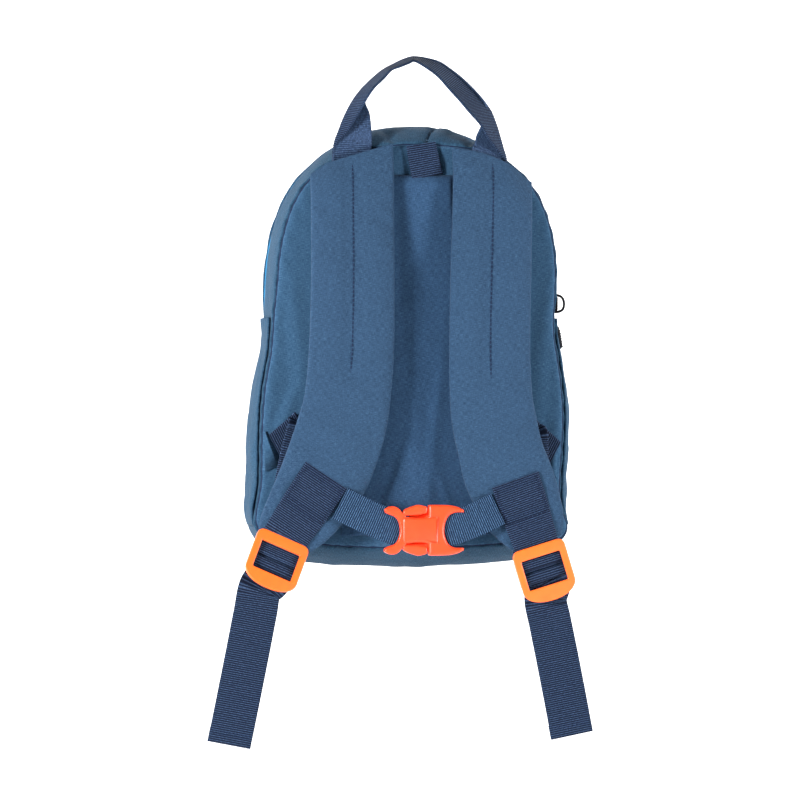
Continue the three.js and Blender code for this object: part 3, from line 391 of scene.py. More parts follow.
def uv_of(tree):
    """The piece's own flat coordinates in millimetres, whole and as two numbers."""
    uv = add_node(tree, "ShaderNodeUVMap", uv_map="millimetres").outputs[0]
    parts = add_node(tree, "ShaderNodeSeparateXYZ")
    link(tree, uv, parts.inputs[0])
    return uv, parts.outputs[0], parts.outputs[1]


def wave(tree, operation, at, pitch):
    return math_node(tree, operation, math_node(tree, "MULTIPLY", at, 2 * math.pi / pitch))


def woven_cloth(name, dark, mid, light, rough=CLOTH_ROUGH):
    """Melange cloth: warp and weft of a dark and a light yarn, with slubs both ways and a plain weave."""
    mat, tree, bsdf = nodes_of(name)
    uv, across, along = uv_of(tree)
    weft = streaks(tree, uv, SLUB_SCALE, THREAD_SCALE, 3.1)
    warp = streaks(tree, uv, THREAD_SCALE, SLUB_SCALE, 7.7)
    cloud = streaks(tree, uv, CLOUD_SCALE, CLOUD_SCALE, 1.3)
    weft_share = math_node(tree, "MULTIPLY", weft, WEFT_SHARE)
    yarn = math_node(tree, "ADD", weft_share, math_node(tree, "MULTIPLY", warp, 1 - WEFT_SHARE))
    ramp = add_node(tree, "ShaderNodeValToRGB")
    ends = ramp.color_ramp.elements
    ends[0].position = 0.5 - 0.14 / CLOTH_CONTRAST
    ends[0].color = (*from_srgb(*dark), 1)
    ends[1].position = 0.5 + 0.16 / CLOTH_CONTRAST
    ends[1].color = (*from_srgb(*light), 1)
    ends.new(0.5).color = (*from_srgb(*mid), 1)
    link(tree, yarn, ramp.inputs[0])
    shade = math_node(tree, "MULTIPLY_ADD", cloud, 0.12, 0.94)
    tint = add_node(tree, "ShaderNodeVectorMath", operation="SCALE")
    link(tree, ramp.outputs[0], tint.inputs[0])
    link(tree, shade, tint.inputs["Scale"])
    link(tree, tint.outputs[0], bsdf.inputs["Base Color"])
    threads = [wave(tree, "SINE", at, WEAVE_PITCH) for at in (across, along)]
    weave = math_node(tree, "MULTIPLY", *threads)
    bump_from(tree, math_node(tree, "MULTIPLY_ADD", weave, 0.25, yarn), bsdf, 0.35, 0.0004)
    bsdf.inputs["Roughness"].default_value = rough
    bsdf.inputs["Specular IOR Level"].default_value = 0.06
    bsdf.inputs["Sheen Weight"].default_value = 0.03
    return mat


def webbing_material(name, dark, light, yarn_share=0.6):
    """Woven strap: a dark ground with a painted highlight on the crests of the cross ribs, broken by flecks
    and fine lengthwise yarns.
    """
    mat, tree, bsdf = nodes_of(name)
    uv, across, along = uv_of(tree)
    # Painted highlight: the colour goes from the dark ground to the light one on each rib's crest, at the
    # same pitch as the rib bumps.
    rib = math_node(tree, "MULTIPLY_ADD", wave(tree, "COSINE", along, RIB_PITCH), 0.5, 0.5)
    yarn = math_node(tree, "MULTIPLY_ADD", wave(tree, "COSINE", across, YARN_PITCH), 0.5, 0.5)
    fleck = add_node(tree, "ShaderNodeMapRange")
    fleck.inputs["From Min"].default_value = 0.38
    fleck.inputs["From Max"].default_value = 0.66
    link(tree, streaks(tree, uv, 1.1, 0.9, 4.2), fleck.inputs["Value"])
    rib = math_node(tree, "POWER", rib, 2.0)
    along_yarn = math_node(tree, "MULTIPLY_ADD", yarn, yarn_share, 1 - yarn_share)
    flecked = math_node(tree, "MULTIPLY_ADD", fleck.outputs[0], 0.6, 0.4)
    amount = math_node(tree, "MULTIPLY", math_node(tree, "MULTIPLY", rib, along_yarn), flecked)
    link(tree, mixed(tree, amount, from_srgb(*dark), from_srgb(*light)), bsdf.inputs["Base Color"])
    bump_from(tree, math_node(tree, "MULTIPLY_ADD", yarn, 0.4, rib), bsdf, 0.5, 0.0003)
    bsdf.inputs["Roughness"].default_value = 0.75
    bsdf.inputs["Specular IOR Level"].default_value = 0.1
    return mat


FLOW_SCALE, PEEL_SCALE, PLASTIC_ROUGH = 160.0, 900.0, 0.36


def plastic_material(name, colour, deep):
    """Moulded plastic with a faint flow mottle and fine orange-peel bump."""
    mat, tree, bsdf = nodes_of(name)
    place = add_node(tree, "ShaderNodeTexCoord").outputs["Object"]
    cloud = add_node(tree, "ShaderNodeTexNoise", in_Scale=FLOW_SCALE, in_Detail=2.0)
    link(tree, place, cloud.inputs["Vector"])
    shade = mixed(tree, cloud.outputs["Fac"], from_srgb(*colour), from_srgb(*deep))
    link(tree, shade, bsdf.inputs["Base Color"])
    peel = add_node(tree, "ShaderNodeTexNoise", in_Scale=PEEL_SCALE, in_Detail=2.0)
    link(tree, place, peel.inputs["Vector"])
    bump_from(tree, peel.outputs["Fac"], bsdf, 0.08, 0.0002)
    rough_map = add_node(tree, "ShaderNodeMapRange")
    rough_map.inputs["To Min"].default_value = PLASTIC_ROUGH - 0.06
    rough_map.inputs["To Max"].default_value = PLASTIC_ROUGH + 0.08
    link(tree, cloud.outputs["Fac"], rough_map.inputs["Value"])
    link(tree, rough_map.outputs[0], bsdf.inputs["Roughness"])
    bsdf.inputs["Subsurface Weight"].default_value = 0.12
    bsdf.inputs["Subsurface Radius"].default_value = (0.004, 0.0015, 0.0008)
    return mat


def plain_grain(name, colour, deep, rough, metal=0.0, scale=700.0):
    """Two close colours in a fine grain, for thread, tape, metal and paper."""
    mat, tree, bsdf = nodes_of(name)
    place = add_node(tree, "ShaderNodeTexCoord").outputs["Object"]
    grain = add_node(tree, "ShaderNodeTexNoise", in_Scale=scale, in_Detail=3.0)
    link(tree, place, grain.inputs["Vector"])
    shade = mixed(tree, grain.outputs["Fac"], from_srgb(*colour), from_srgb(*deep))
    link(tree, shade, bsdf.inputs["Base Color"])
    bump_from(tree, grain.outputs["Fac"], bsdf, 0.2, 0.0002)
    bsdf.inputs["Roughness"].default_value = rough
    bsdf.inputs["Specular IOR Level"].default_value = 0.5 if metal else 0.1
    bsdf.inputs["Metallic"].default_value = metal
    return mat


# Colours are screen values from 0 to 255: for cloth the darkest, the middle and the lightest yarn; for
# webbing the dark ground and the painted highlight on its rib crests.
BODY = woven_cloth("body cloth", (28, 52, 76), (48, 77, 104), (74, 110, 142))
PAD_CLOTH = woven_cloth("pad cloth", (22, 40, 62), (40, 64, 92), (64, 96, 128))
STRAP_CLOTH = woven_cloth("strap cloth", (22, 40, 60), (41, 63, 88), (64, 94, 122))
GUSSET_CLOTH = woven_cloth("gusset cloth", (20, 40, 56), (38, 64, 86), (62, 96, 122), 0.85)
STRAP_WEBBING = webbing_material("navy webbing", (10, 18, 36), (74, 98, 134))
CHEST_WEBBING = webbing_material("blue webbing", (10, 26, 48), (86, 124, 164), 0.4)
BUCKLE_PLASTIC = plastic_material("buckle plastic", (255, 78, 34), (240, 62, 26))
LOCK_PLASTIC = plastic_material("lock plastic", (255, 112, 40), (246, 98, 32))
# Thread colour for the dark stitches; the same colour also paints the shadow along the back seam.
DARK_THREAD_AND_SEAM_SHADOW = plain_grain("dark thread and painted seam shadow", (18, 28, 50), (30, 44, 72), 0.7, scale=2500.0)
THREAD_LIGHT = plain_grain("light thread", (110, 138, 168), (76, 106, 140), 0.7, scale=2500.0)
THREAD_BLACK = plain_grain("black cord", (26, 27, 32), (44, 46, 52), 0.7, scale=1800.0)
ZIP_TAPE = plain_grain("zip tape", (16, 140, 190), (8, 110, 168), 0.75)
ZIP_METAL = plain_grain("zip metal", (40, 40, 44), (24, 24, 27), 0.32, metal=0.9)


# The bag: gusset, panels, pad and pockets.
def puckers(length, share):
    """Small gathers that run in from the seams."""
    edge = np.minimum(share, 1 - share)
    return 0.32 * np.exp(-(edge / 0.07) ** 2) * np.sin(length / 2.1 + 1.7 * np.sin(length / 17.0))


def soft_noise(points, size, amount, seed):
    flat = points.reshape(-1, 3)
    return amount * np.array([fractal(p, size, seed) for p in flat]).reshape(points.shape[:-1])


def fold_field(points, folds):
    """Long soft creases in the XZ plane: a row per crease with x, z, angle, length, width and depth."""
    out = np.zeros(points.shape[:-1])
    for x, z, angle, length, width, depth in folds:
        a = math.radians(angle)
        dx, dz = points[..., 0] - x, points[..., 2] - z
        along = dx * math.cos(a) + dz * math.sin(a)
        off = -dx * math.sin(a) + dz * math.cos(a)
        crest = np.exp(-(off / width) ** 2) - 0.5 * np.exp(-((off - 1.6 * width) / width) ** 2)
        out += depth * np.exp(-(along / length) ** 2) * crest
    return out


# Creases over the gusset: length from the crest, slant, width and depth.
GUSSET_CREASES = [(6, 22, 2.2, 2.6), (14, 22, 2.6, -1.0), (-14, -8, 3, 1.2), (34, 10, 3, 1.4),
                  (-40, 12, 3, 1.2), (262, 6, 4, 1.4), (-262, 6, 4, 1.6),
                  (300, -6, 5, 1.4), (-300, -6, 5, 1.2)]


GUSSET_ROWS, GUSSET_SIDE_ROWS = 420, 14
PANEL_ROWS, PANEL_RINGS = 360, 46


def gusset_piece():
    """The side wall: two strips beside the zip's slot, which are one strip below the zip's ends."""
    side = GUSSET_SIDE_ROWS
    length = lengths_round(GUSSET_ROWS)
    slot = (ZIP_WIDTH / 2 + CLEARANCE) / depth_at(outline_at(length)[1])
    low = [(0.5 - slot) * j / side for j in range(side + 1)]
    high = [lerp(0.5 + slot, 1, j / side) for j in range(side + 1)]
    share = np.stack(low + high, 1)
    lengths = np.repeat(length[:, None], share.shape[1], 1)
    base = gusset_points(lengths, share)
    wrinkle = soft_noise(base, 26.0, 1.0, 2.0) + 0.35 * soft_noise(base, 9.0, 1.0, 5.0)
    calm = np.clip(np.abs(share - 0.5) / 0.12, 0, 1) * np.clip(np.minimum(share, 1 - share) / 0.05, 0, 1)
    in_pocket = smooth((-base[..., 2] - POCKET_HEM_DROP + 12) / 12) * (np.abs(outline_at(lengths)[2]) > 0.5)
    wrinkle = lerp(wrinkle, -0.4 - 0.2 * np.abs(wrinkle), in_pocket)
    for middle, slant, width, depth in GUSSET_CREASES:
        crease = np.exp(-((lengths - middle - slant * share) / width) ** 2)
        wrinkle = wrinkle - depth * crease * smooth((0.5 - share) / 0.2)
    grid = gusset_points(lengths, share, wrinkle * calm * 0.9 + puckers(lengths, share) - 0.3)
    uvs = np.stack([share * depth_at(base[..., 2]), lengths], -1)
    keep = np.ones((GUSSET_ROWS, share.shape[1] - 1), bool)
    middle = (length + np.roll(length, -1)) / 2
    wraps = (length > 0) & (np.roll(length, -1) < 0)
    keep[(np.abs(middle) < ZIP_END) & ~wraps, side] = False
    return shell("gusset_cloth", grid, CLOTH, uvs, GUSSET_CLOTH, loop=True, keep=keep)


def panel_piece(name, share, outward, bulge, amount, folds, material):
    """A domed panel in rings from the seam to the middle."""
    length = lengths_round(PANEL_ROWS)
    rim = gusset_points(length, share)
    middle_y = BACK_SEAM_Y + share * depth_at(CENTRE_Z)
    reach = np.concatenate([[1.0], np.linspace(0.992, 0.0, PANEL_RINGS)])[None, :]
    dome = bulge * (1 - reach ** 2) ** 2
    edge_roll = 0.9 * np.clip((reach - 0.975) / 0.025, 0, 1) ** 2
    x = rim[:, 0:1] * reach
    z = lerp(CENTRE_Z, rim[:, 2:3], reach)
    y = lerp(middle_y, rim[:, 1:2], reach) + outward * (CLOTH_GAP + CLOTH + dome - edge_roll)
    grid = np.stack([x, y, z], -1)
    calm = np.clip((1 - reach) / 0.05, 0, 1)
    seam = 0.35 * np.exp(-((reach - 0.965) / 0.02) ** 2) * np.sin(length[:, None] / 2.3)
    lift = calm * (soft_noise(grid, 24.0, amount, 9.0) + fold_field(grid, folds)) + seam
    grid[..., 1] += outward * np.minimum(lift, 2.0)
    grid[:, -1] = grid[:, -1].mean(0)
    uvs = np.stack([grid[..., 0], grid[..., 2]], -1)
    return shell(name, grid, CLOTH * 0.9, uvs, material, loop=True)


def back_dome(x, z):
    """How far the back panel stands out at places of the XZ plane."""
    rim = gusset_points(np.linspace(-HALF_GIRTH, HALF_GIRTH, 400), 0)
    theta = np.arctan2(rim[:, 0], rim[:, 2] - CENTRE_Z)
    order = np.argsort(theta)
    rim_size = np.hypot(rim[:, 0], rim[:, 2] - CENTRE_Z)[order]
    size = np.interp(np.arctan2(x, z - CENTRE_Z), theta[order], rim_size)
    reach = np.clip(np.hypot(x, z - CENTRE_Z) / size, 0, 1)
    return BACK_BULGE * (1 - reach ** 2) ** 2


# Creases: x, z, angle, length, width and depth.
PAD_FOLDS = [(-12, -118, 92, 40, 3, -0.5), (8, -205, 84, 45, 3.5, 0.7), (-14, -238, 70, 22, 3, 0.7),
             (16, -250, 110, 18, 3, 0.6)]
BACK_FOLDS = [(-72, -258, 40, 26, 3, 1.5), (70, -262, 150, 24, 3, 1.6), (-66, -235, 100, 22, 3, 1.0),
              (74, -230, 80, 24, 3, 1.1), (0, -262, 2, 50, 3, 1.2), (-70, -150, 96, 40, 5, 0.8),
              (70, -170, 84, 40, 5, 0.9), (-76, -200, 70, 24, 3, 0.8)]


# The pad's raised middle: half width at the top and at the bottom, and the fall beside it.
PAD_CREST_TOP, PAD_CREST_BOTTOM, PAD_FALL, PAD_FLAT = 16.5, 34.0, 5, 0.12


def rounded_edge(share, reach):
    return np.clip((1 - np.abs(share)) / reach, 0, 1) ** 0.5


def pad_piece():
    """The padded insert on the back panel, with rows down and columns across."""
    u = np.linspace(-1, 1, 90)[None, :]
    v = np.linspace(0, 1, 180)[:, None]
    x = u * PAD_HALF_WIDTH + 0 * v
    z = -lerp(PAD_TOP_DROP, PAD_BOTTOM_DROP, v) + 0 * u
    crest = lerp(PAD_CREST_TOP, PAD_CREST_BOTTOM, smooth(v * 1.15))
    shelf = smooth((crest + PAD_FALL - np.abs(x + 0.5)) / PAD_FALL)
    edges = rounded_edge(u, 0.3) * rounded_edge(2 * v - 1, 0.05)
    full = PAD_FLAT + (1 - PAD_FLAT) * edges * lerp(0.1, 1, shelf)
    on_panel = BACK_PLANE - back_dome(x, z) - CLOTH_GAP
    grid = np.stack([x, on_panel - PAD_THICKNESS * full, z], -1)
    grid[..., 1] -= soft_noise(grid, 20.0, 0.5, 12.0) * full + fold_field(grid, PAD_FOLDS)
    uvs = np.stack([grid[..., 0], grid[..., 2]], -1)
    back = grid.copy()
    back[..., 1] = on_panel
    return two_sheets("back_pad_cloth", grid, back, uvs, PAD_CLOTH)


def pocket_piece(name, side):
    """A side pocket over the gusset: a rolled hem, gathers below it and a puff lower down."""
    down = np.linspace(0, 1, 110)[:, None]
    across = np.linspace(0, 1, 70)[None, :]
    hem, foot = length_at_drop(POCKET_HEM_DROP), length_at_drop(POCKET_FOOT_DROP)
    share = lerp(POCKET_EDGE, 1 - POCKET_EDGE, across) + 0 * down
    length = side * lerp(hem, foot, down) + 0 * across
    puff = POCKET_PUFF * smooth(down * 1.4) * smooth((1 - down) * 5) * np.sin(math.pi * across) ** 0.6
    gather = 0.25 * np.exp(-down / 0.2) * np.sin(across * 46 + 2.2 * np.sin(across * 9))
    hem_roll = 0.2 * np.exp(-((down - 0.015) / 0.02) ** 2) - 0.2 * np.exp(-((down - 0.075) / 0.02) ** 2)
    base = gusset_points(length, share)
    soft = soft_noise(base, 17.0, 1.0, 20.0 + side)
    edge = np.clip(np.minimum(across, 1 - across) / 0.06, 0, 1) * np.clip((1 - down) / 0.05, 0, 1)
    rest = lerp(0.3, CLOTH_GAP * 0.3 + POCKET_CLOTH, smooth((1 - down) * 9))
    lift = rest + puff + edge * (gather + soft * (0.2 + 1.1 * down) + hem_roll)
    grid = gusset_points(length, share, np.maximum(lift, rest))
    uvs = np.stack([share * depth_at(base[..., 2]), length], -1)
    grid = grid if side > 0 else grid[:, ::-1]
    uvs = uvs if side > 0 else uvs[:, ::-1]
    return shell(name, grid, POCKET_CLOTH, uvs, GUSSET_CLOTH)


# Shoulder straps: a row per section, as in the frame.
# Columns: share of the length, distance from the middle, width, tilt in degrees, stand-off and thickness.
STRAPS = {
    "left": [
        (0, 0.985, 1.04, -17, 0.2, 0.45), (0.06, 0.99, 1.01, -7, 0.3, 0.95),
        (0.14, 1, 1, -1.5, 0.55, 1), (0.305, 1.015, 1, 0, 0.95, 1),
        (0.49, 1.035, 1.02, 0, 1, 1), (0.62, 1.09, 1.03, 5.5, 1, 1),
        (0.69, 1.165, 1.06, 10.5, 1, 1), (0.762, 1.285, 1.07, 12.5, 1, 1),
        (0.83, 1.43, 1.05, 17, 1, 0.95), (0.897, 1.62, 0.98, 18, 1, 0.8),
        (0.954, 1.82, 0.86, 19, 1, 0.66), (0.996, 1.98, 0.67, 22, 1, 0.56),
    ],
    "right": [
        (0.016, 1.02, 1.02, -18, 0.2, 0.45), (0.07, 1.01, 0.97, -8, 0.3, 0.95),
        (0.145, 0.99, 0.97, -2, 0.55, 1), (0.305, 0.945, 0.98, 0, 0.95, 1),
        (0.49, 0.925, 0.98, 0, 1, 1), (0.62, 0.945, 1, 1.5, 1, 1),
        (0.69, 0.995, 1.03, 5, 1, 1), (0.76, 1.08, 1.03, 9, 1, 1),
        (0.83, 1.2, 1.08, 9, 1, 0.95), (0.892, 1.33, 1.03, 9, 1, 0.8),
        (0.948, 1.455, 0.92, 12, 1, 0.66), (1, 1.61, 0.63, 18, 1, 0.56),
    ],
}
# The dart's line and the valley beside it: half widths and depths as shares of half the thickness.
DART_END, DART_WIDTH, DART_DEPTH, VALLEY_WIDTH, VALLEY_DEPTH, CROWN = 0.6, 1.6, 0.45, 7.0, 0.24, 0.28
CORNER_DROP, STRAP_AROUND = 3.4, 84


STRAP_STEPS = 22


def strap_rows(name):
    return spline(STRAPS[name], STRAP_STEPS)


def strap_frame(row, side):
    """A section's middle, its direction across, its half width and its thickness."""
    down, out, width, tilt, stand_off, thick = row
    a = math.radians(tilt)
    thick = thick * STRAP_THICKNESS
    centre = np.array([side * out * STRAP_SPACING, BACK_PLANE - stand_off * STRAP_STAND_OFF - thick / 2,
                       -STRAP_TOP_DROP - down * STRAP_LENGTH])
    return centre, np.array([side * math.cos(a), 0, math.sin(a)]), width * STRAP_WIDTH / 2, thick


def seam_rise(side, x, z):
    """Height of the back seam above places on the strap's straight top edge."""
    seam = gusset_points(side * np.linspace(0, ARCH_HALF_WIDTH + ARCH_RISE, 400), 0)
    reach = np.maximum.accumulate(np.abs(seam[:, 0]))
    return np.maximum(0, np.interp(np.abs(x), reach, seam[:, 2]) - STRAP_SEAM_GAP - z)


def strap_rise(name, side, row, u):
    """How far the strap's top end is drawn up to the curve of the seam at shares u of its half width."""
    fade = float(smooth((STRAP_BLEND - row[0]) / STRAP_BLEND))
    first = STRAPS[name][0]
    centre, across, _, _ = strap_frame((first[0], row[1], row[2], first[3], row[4], row[5]), side)
    edge = centre + across * (np.asarray(u) * row[2] * STRAP_WIDTH / 2)[..., None]
    corner = CORNER_DROP * smooth((np.asarray(u) - 0.55) / 0.45)
    return fade * (seam_rise(side, edge[..., 0], edge[..., 2]) - corner)


def strap_ring(name, side, row, along, angle):
    """One section of the strap with crown, dart and wrinkles: its points, and their places across."""
    centre, across, half, thick = strap_frame(row, side)
    c, s = np.cos(angle), np.sin(angle)
    u = np.sign(c) * np.abs(c) ** 0.55
    v = np.sign(s) * np.abs(s) ** 0.6
    dart = np.exp(-(u * half / DART_WIDTH) ** 2) * smooth((DART_END - row[0]) / 0.03)
    valley = np.exp(-(u * half / VALLEY_WIDTH) ** 2) * smooth((DART_END - row[0]) / 0.08)
    crown = np.clip(v, 0, 1) * (CROWN * (1 - u ** 2) - DART_DEPTH * dart - VALLEY_DEPTH * valley)
    forward = ((v + crown) * thick / 2)[:, None]
    ring = centre + across * (u * half)[:, None] + np.array([0, -1, 0]) * forward
    ring[:, 2] += strap_rise(name, side, row, u)
    bend = smooth((row[0] - 0.58) / 0.15) * smooth((1.0 - row[0]) / 0.08)
    edge = np.exp(-((np.abs(u) - 0.9) / 0.08) ** 2)
    cross = np.sin(along / 4.6 + 1.4 * np.sin(u * 2.6 + along / 31.0) + u * side * 1.4)
    for k, p in enumerate(ring):
        soft = 0.7 * fractal(p, 20.0, 30.0 + side) + 0.25 * fractal(p, 7.0, 40.0)
        wrinkle = bend * 0.95 * cross[k] * (0.5 + 0.5 * fractal(p, 24.0, 50.0))
        pull = 0.22 * edge[k] * math.sin(along / 1.7)
        p[1] -= (soft + wrinkle + pull) * np.sign(v[k]) * min(1.0, abs(v[k]) * 1.6)
    return ring, u * half


def strap_piece(name, side):
    angle = np.linspace(0, 2 * math.pi, STRAP_AROUND, endpoint=False)
    rings, uvs = [], []
    along, last = 0.0, None
    for row in strap_rows(name):
        centre = strap_frame(row, side)[0]
        along += 0 if last is None else float(np.linalg.norm(centre - last))
        last = centre
        ring, width = strap_ring(name, side, row, along, angle)
        rings.append(ring)
        uvs.append(np.stack([width, np.full(STRAP_AROUND, along)], 1))
    return loft("strap_cloth_" + name, rings, uvs, STRAP_CLOTH)


# Webbing.
WEBBING_STEPS = 6


def webbing_piece(name, points, across, width, material=STRAP_WEBBING):
    """Ribbed webbing along a path of stops, with a direction across it and a width at each stop."""
    path = spline(points, WEBBING_STEPS)
    wide = spline(across, WEBBING_STEPS)
    widths = np.broadcast_to(np.asarray(width, float), (len(points),))
    widths = spline(widths[:, None], WEBBING_STEPS)
    at, path, wide, widths = resample(path, RIB_PITCH / 4, wide, widths)
    tangent = unit(np.gradient(path, axis=0))
    wide = unit(wide - (wide * tangent).sum(1, keepdims=True) * tangent)
    normal = np.cross(tangent, wide)
    cols = np.array([-1, -0.97, -0.88, -0.6, -0.2, 0.2, 0.6, 0.88, 0.97, 1])
    flat = np.array([0.35, 0.85, 1, 1, 1, 1, 1, 1, 0.85, 0.35])
    u = np.concatenate([cols, cols[::-1]])
    h = np.concatenate([flat, -flat])
    rib = np.cos(2 * math.pi * at / RIB_PITCH)[:, None] * RIB_HEIGHT * (np.abs(u) < 0.99)[None, :]
    height = h[None, :] * (WEBBING / 2 - RIB_HEIGHT) + np.sign(h)[None, :] * rib
    offset = u[None, :] * widths / 2
    rings = path[:, None] + wide[:, None] * offset[..., None] + normal[:, None] * height[..., None]
    uvs = np.stack([offset, np.repeat(at[:, None], len(u), 1)], -1)
    return loft(name, rings, uvs, material)


# Strap hardware hangs in a frame at the strap's end. Leans and pitch are degrees, lengths millimetres.
HANGS = {
    "left": dict(side=-1, patch_lean=33.5, lock_lean=23.7, tail_lean=11.3, pitch=23, patch=41.9, tail=88.1,
                 out=79.3, drop=268.5, tail_shift=-2.24, chest_share=0.79),
    "right": dict(side=1, patch_lean=19.2, lock_lean=17, tail_lean=11.3, pitch=0, patch=39.0, tail=77.6,
                  out=63.4, drop=273.1, tail_shift=-3.36, chest_share=0.69),
}
# Places of the adjusting webbing: a share of the bag's height below the crest and a share of the
# tail's width in from the outline.
ANCHORS = {
    "left": dict(tab=(0.727, 0.38), fold=(0.69, 1.1), strand=(0.752, 0.95)),
    "right": dict(tab=(0.744, 0.2), fold=(0.708, 0.91), strand=(0.776, 0.91)),
}
FRONT_OF_END = BACK_PLANE - STRAP_STAND_OFF - STRAP_THICKNESS * STRAP_END_SHARE - CLEARANCE - WEBBING / 2
BAR_RADIUS = LOCK_BAR / 2
WRAP_RADIUS = BAR_RADIUS + CLEARANCE + WEBBING / 2
BAR_CENTRE = -WEBBING / 2 - CLEARANCE - BAR_RADIUS
FIXED_BAR_TOP = LOCK_BAND + LOCK_BAR
FIXED_BAR_END = FIXED_BAR_TOP + LOCK_BAR_LENGTH - BAR_RADIUS
GAP_MIDDLE = FIXED_BAR_END + WRAP_RADIUS + WEBBING + CLEARANCE
SLIDE_BAR_START = GAP_MIDDLE + WRAP_RADIUS
SLIDE_BAR_END = SLIDE_BAR_START + 0.8
PLATE_BACK = WEBBING / 2 + CLEARANCE
BUCKLE_CENTRE = np.array([-1.5, FRONT_OF_END - BUCKLE_THICKNESS * 0.59, -264.3])
CHEST_END = BUCKLE_LENGTH / 4


def anchor_place(name, part):
    """A place of the adjusting webbing in the XZ plane."""
    drop, inset = ANCHORS[name][part]
    z = -CREST_DROP - drop * BAG_HEIGHT
    x = HANGS[name]["side"] * (float(half_width_at(z)) - inset * TAIL_WIDTH) + float(middle_x(z, 0))
    return np.array([x, 0, z])


def lean_frame(side, degrees):
    a = math.radians(degrees)
    return np.array([math.cos(a), 0, side * math.sin(a)]), np.array([side * math.sin(a), 0, -math.cos(a)])


def lock_place(hang):
    """Origin, the lock's three directions, and a function for places in the lock, which may be pitched."""
    across, flat_down = lean_frame(hang["side"], hang["lock_lean"])
    toward = np.array([0, -1.0, 0])
    origin = np.array([hang["side"] * hang["out"], FRONT_OF_END, -hang["drop"]])
    pitch = math.radians(hang["pitch"])
    down = flat_down * math.cos(pitch) + toward * math.sin(pitch)
    forward = toward * math.cos(pitch) - flat_down * math.sin(pitch)
    hinge = origin + flat_down * LOCK_BAND

    def place(a, d, f):
        return hinge + across * a + down * (d - LOCK_BAND) + forward * f

    return origin, across, down, forward, place


def arc(centre_d, centre_f, radius, start, end, steps):
    """Points of an arc in the lock's plane: down it and forward."""
    angles = np.radians(np.linspace(start, end, steps + 1))
    return [(centre_d + radius * math.cos(a), centre_f + radius * math.sin(a)) for a in angles]


def patch_piece(name, hang):
    """Sewn patch that goes on into the lock, round its fixed bar and back."""
    origin, across, _, _, place = lock_place(hang)
    patch_across, patch_down = lean_frame(hang["side"], hang["patch_lean"])
    rise = STRAP_THICKNESS * (1 - STRAP_END_SHARE)
    points, wide, widths = [], [], []
    for share in (1, 0.75, 0.5, 0.25, 0.06):
        points.append(origin - patch_down * share * hang["patch"] + np.array([0, -rise * share, 0]))
        wide.append(lerp(patch_across, across, 0.6) if share < 0.1 else patch_across)
        widths.append(lerp(PATCH_END_WIDTH, PATCH_WIDTH, float(smooth(share * 1.6))))
    route = [(1.5, 0), *arc(FIXED_BAR_END, BAR_CENTRE, WRAP_RADIUS, 90, -90, 8),
             (2 * WRAP_RADIUS - WEBBING, BAR_CENTRE - WRAP_RADIUS)]
    for d, f in route:
        points.append(place(0, d, f))
        wide.append(across)
        widths.append(PATCH_END_WIDTH)
    return webbing_piece("patch_webbing_" + name, points, wide, widths)


def tail_frame(hang):
    """Where the tail starts below the lock's slide bar, and its directions."""
    across, down = lean_frame(hang["side"], hang["tail_lean"])
    start = lock_place(hang)[4](hang["tail_shift"], LOCK_LENGTH, BAR_CENTRE - WRAP_RADIUS)
    return start, across, down


def adjuster_stops(name, hang):
    """From the tab over its fold, under the strap, through the lock and down the tail."""
    _, across, _, _, place = lock_place(hang)
    side = hang["side"]
    tab, fold, strand = (anchor_place(name, part) for part in ("tab", "fold", "strand"))
    slant = np.array([side * 0.45, 0, 0.89]) * side
    behind = BACK_PLANE - STRAP_STAND_OFF * 0.35
    on_tab = BACK_PLANE - TAB_CLOTH - 2 * CLEARANCE - WEBBING / 2
    turn = WEBBING * 1.15

    def over(spot, y, lift=0.0):
        return spot + np.array([0, y, lift])

    stops = [
        (over(tab, on_tab), slant, TAB_WIDTH),
        (over(lerp(tab, fold, 0.6), on_tab - turn / 2), slant, TAIL_WIDTH * 0.85),
        (over(fold, behind + turn / 2), slant, TAIL_WIDTH),
        (over(fold, behind - turn, 0.8 * turn), (1, 0, side * 0.5), TAIL_WIDTH),
        (over(fold, behind - 2.5 * turn, -0.6 * turn), (1, 0, side * 0.4), TAIL_WIDTH),
        (over(strand, behind - 2.7 * turn), across, TAIL_WIDTH),
        (place(0, -LOCK_LENGTH * 0.56, BAR_CENTRE - STRAP_THICKNESS * 0.83), across, TAIL_WIDTH),
    ]
    bend = WEBBING + CLEARANCE
    route = [(2.4 * bend, BAR_CENTRE - 2.7 * bend),
             *arc(GAP_MIDDLE - bend, BAR_CENTRE - 1.6 * bend, bend, -90, 0, 4),
             *arc(SLIDE_BAR_START, BAR_CENTRE, WRAP_RADIUS, 180, 90, 5),
             *arc(SLIDE_BAR_END, BAR_CENTRE, WRAP_RADIUS, 90, 0, 5),
             *arc(SLIDE_BAR_END + WRAP_RADIUS + bend, BAR_CENTRE, bend, 180, 270, 4),
             (LOCK_LENGTH - LOCK_LIP + WEBBING, BAR_CENTRE - bend)]
    stops += [(place(0, d, f), across, PATCH_END_WIDTH) for d, f in route]
    start, tail_across, tail_down = tail_frame(hang)
    stops.append((start, across, TAIL_WIDTH))
    for share in (0.15, 0.4, 0.7, 1):
        sway = np.array([0, -WEBBING * math.sin(math.pi * share), 0])
        stops.append((start + tail_down * share * hang["tail"] + sway, tail_across, TAIL_WIDTH))
    return stops


def adjuster_piece(name, hang):
    points, wide, widths = zip(*adjuster_stops(name, hang))
    return webbing_piece("adjuster_webbing_" + name, np.array(points), np.array(wide), widths)


def hem_piece(name, hang):
    """The tail's end, folded back behind it."""
    start, across, down = tail_frame(hang)
    start = start + np.array([0, WEBBING + 0.15, 0])
    points = [start + down * lerp(hang["tail"] - HEM_LENGTH, hang["tail"], t) for t in (0, 0.5, 1)]
    return webbing_piece("tail_fold_" + name, points, [across] * 3, TAIL_WIDTH - 0.2)


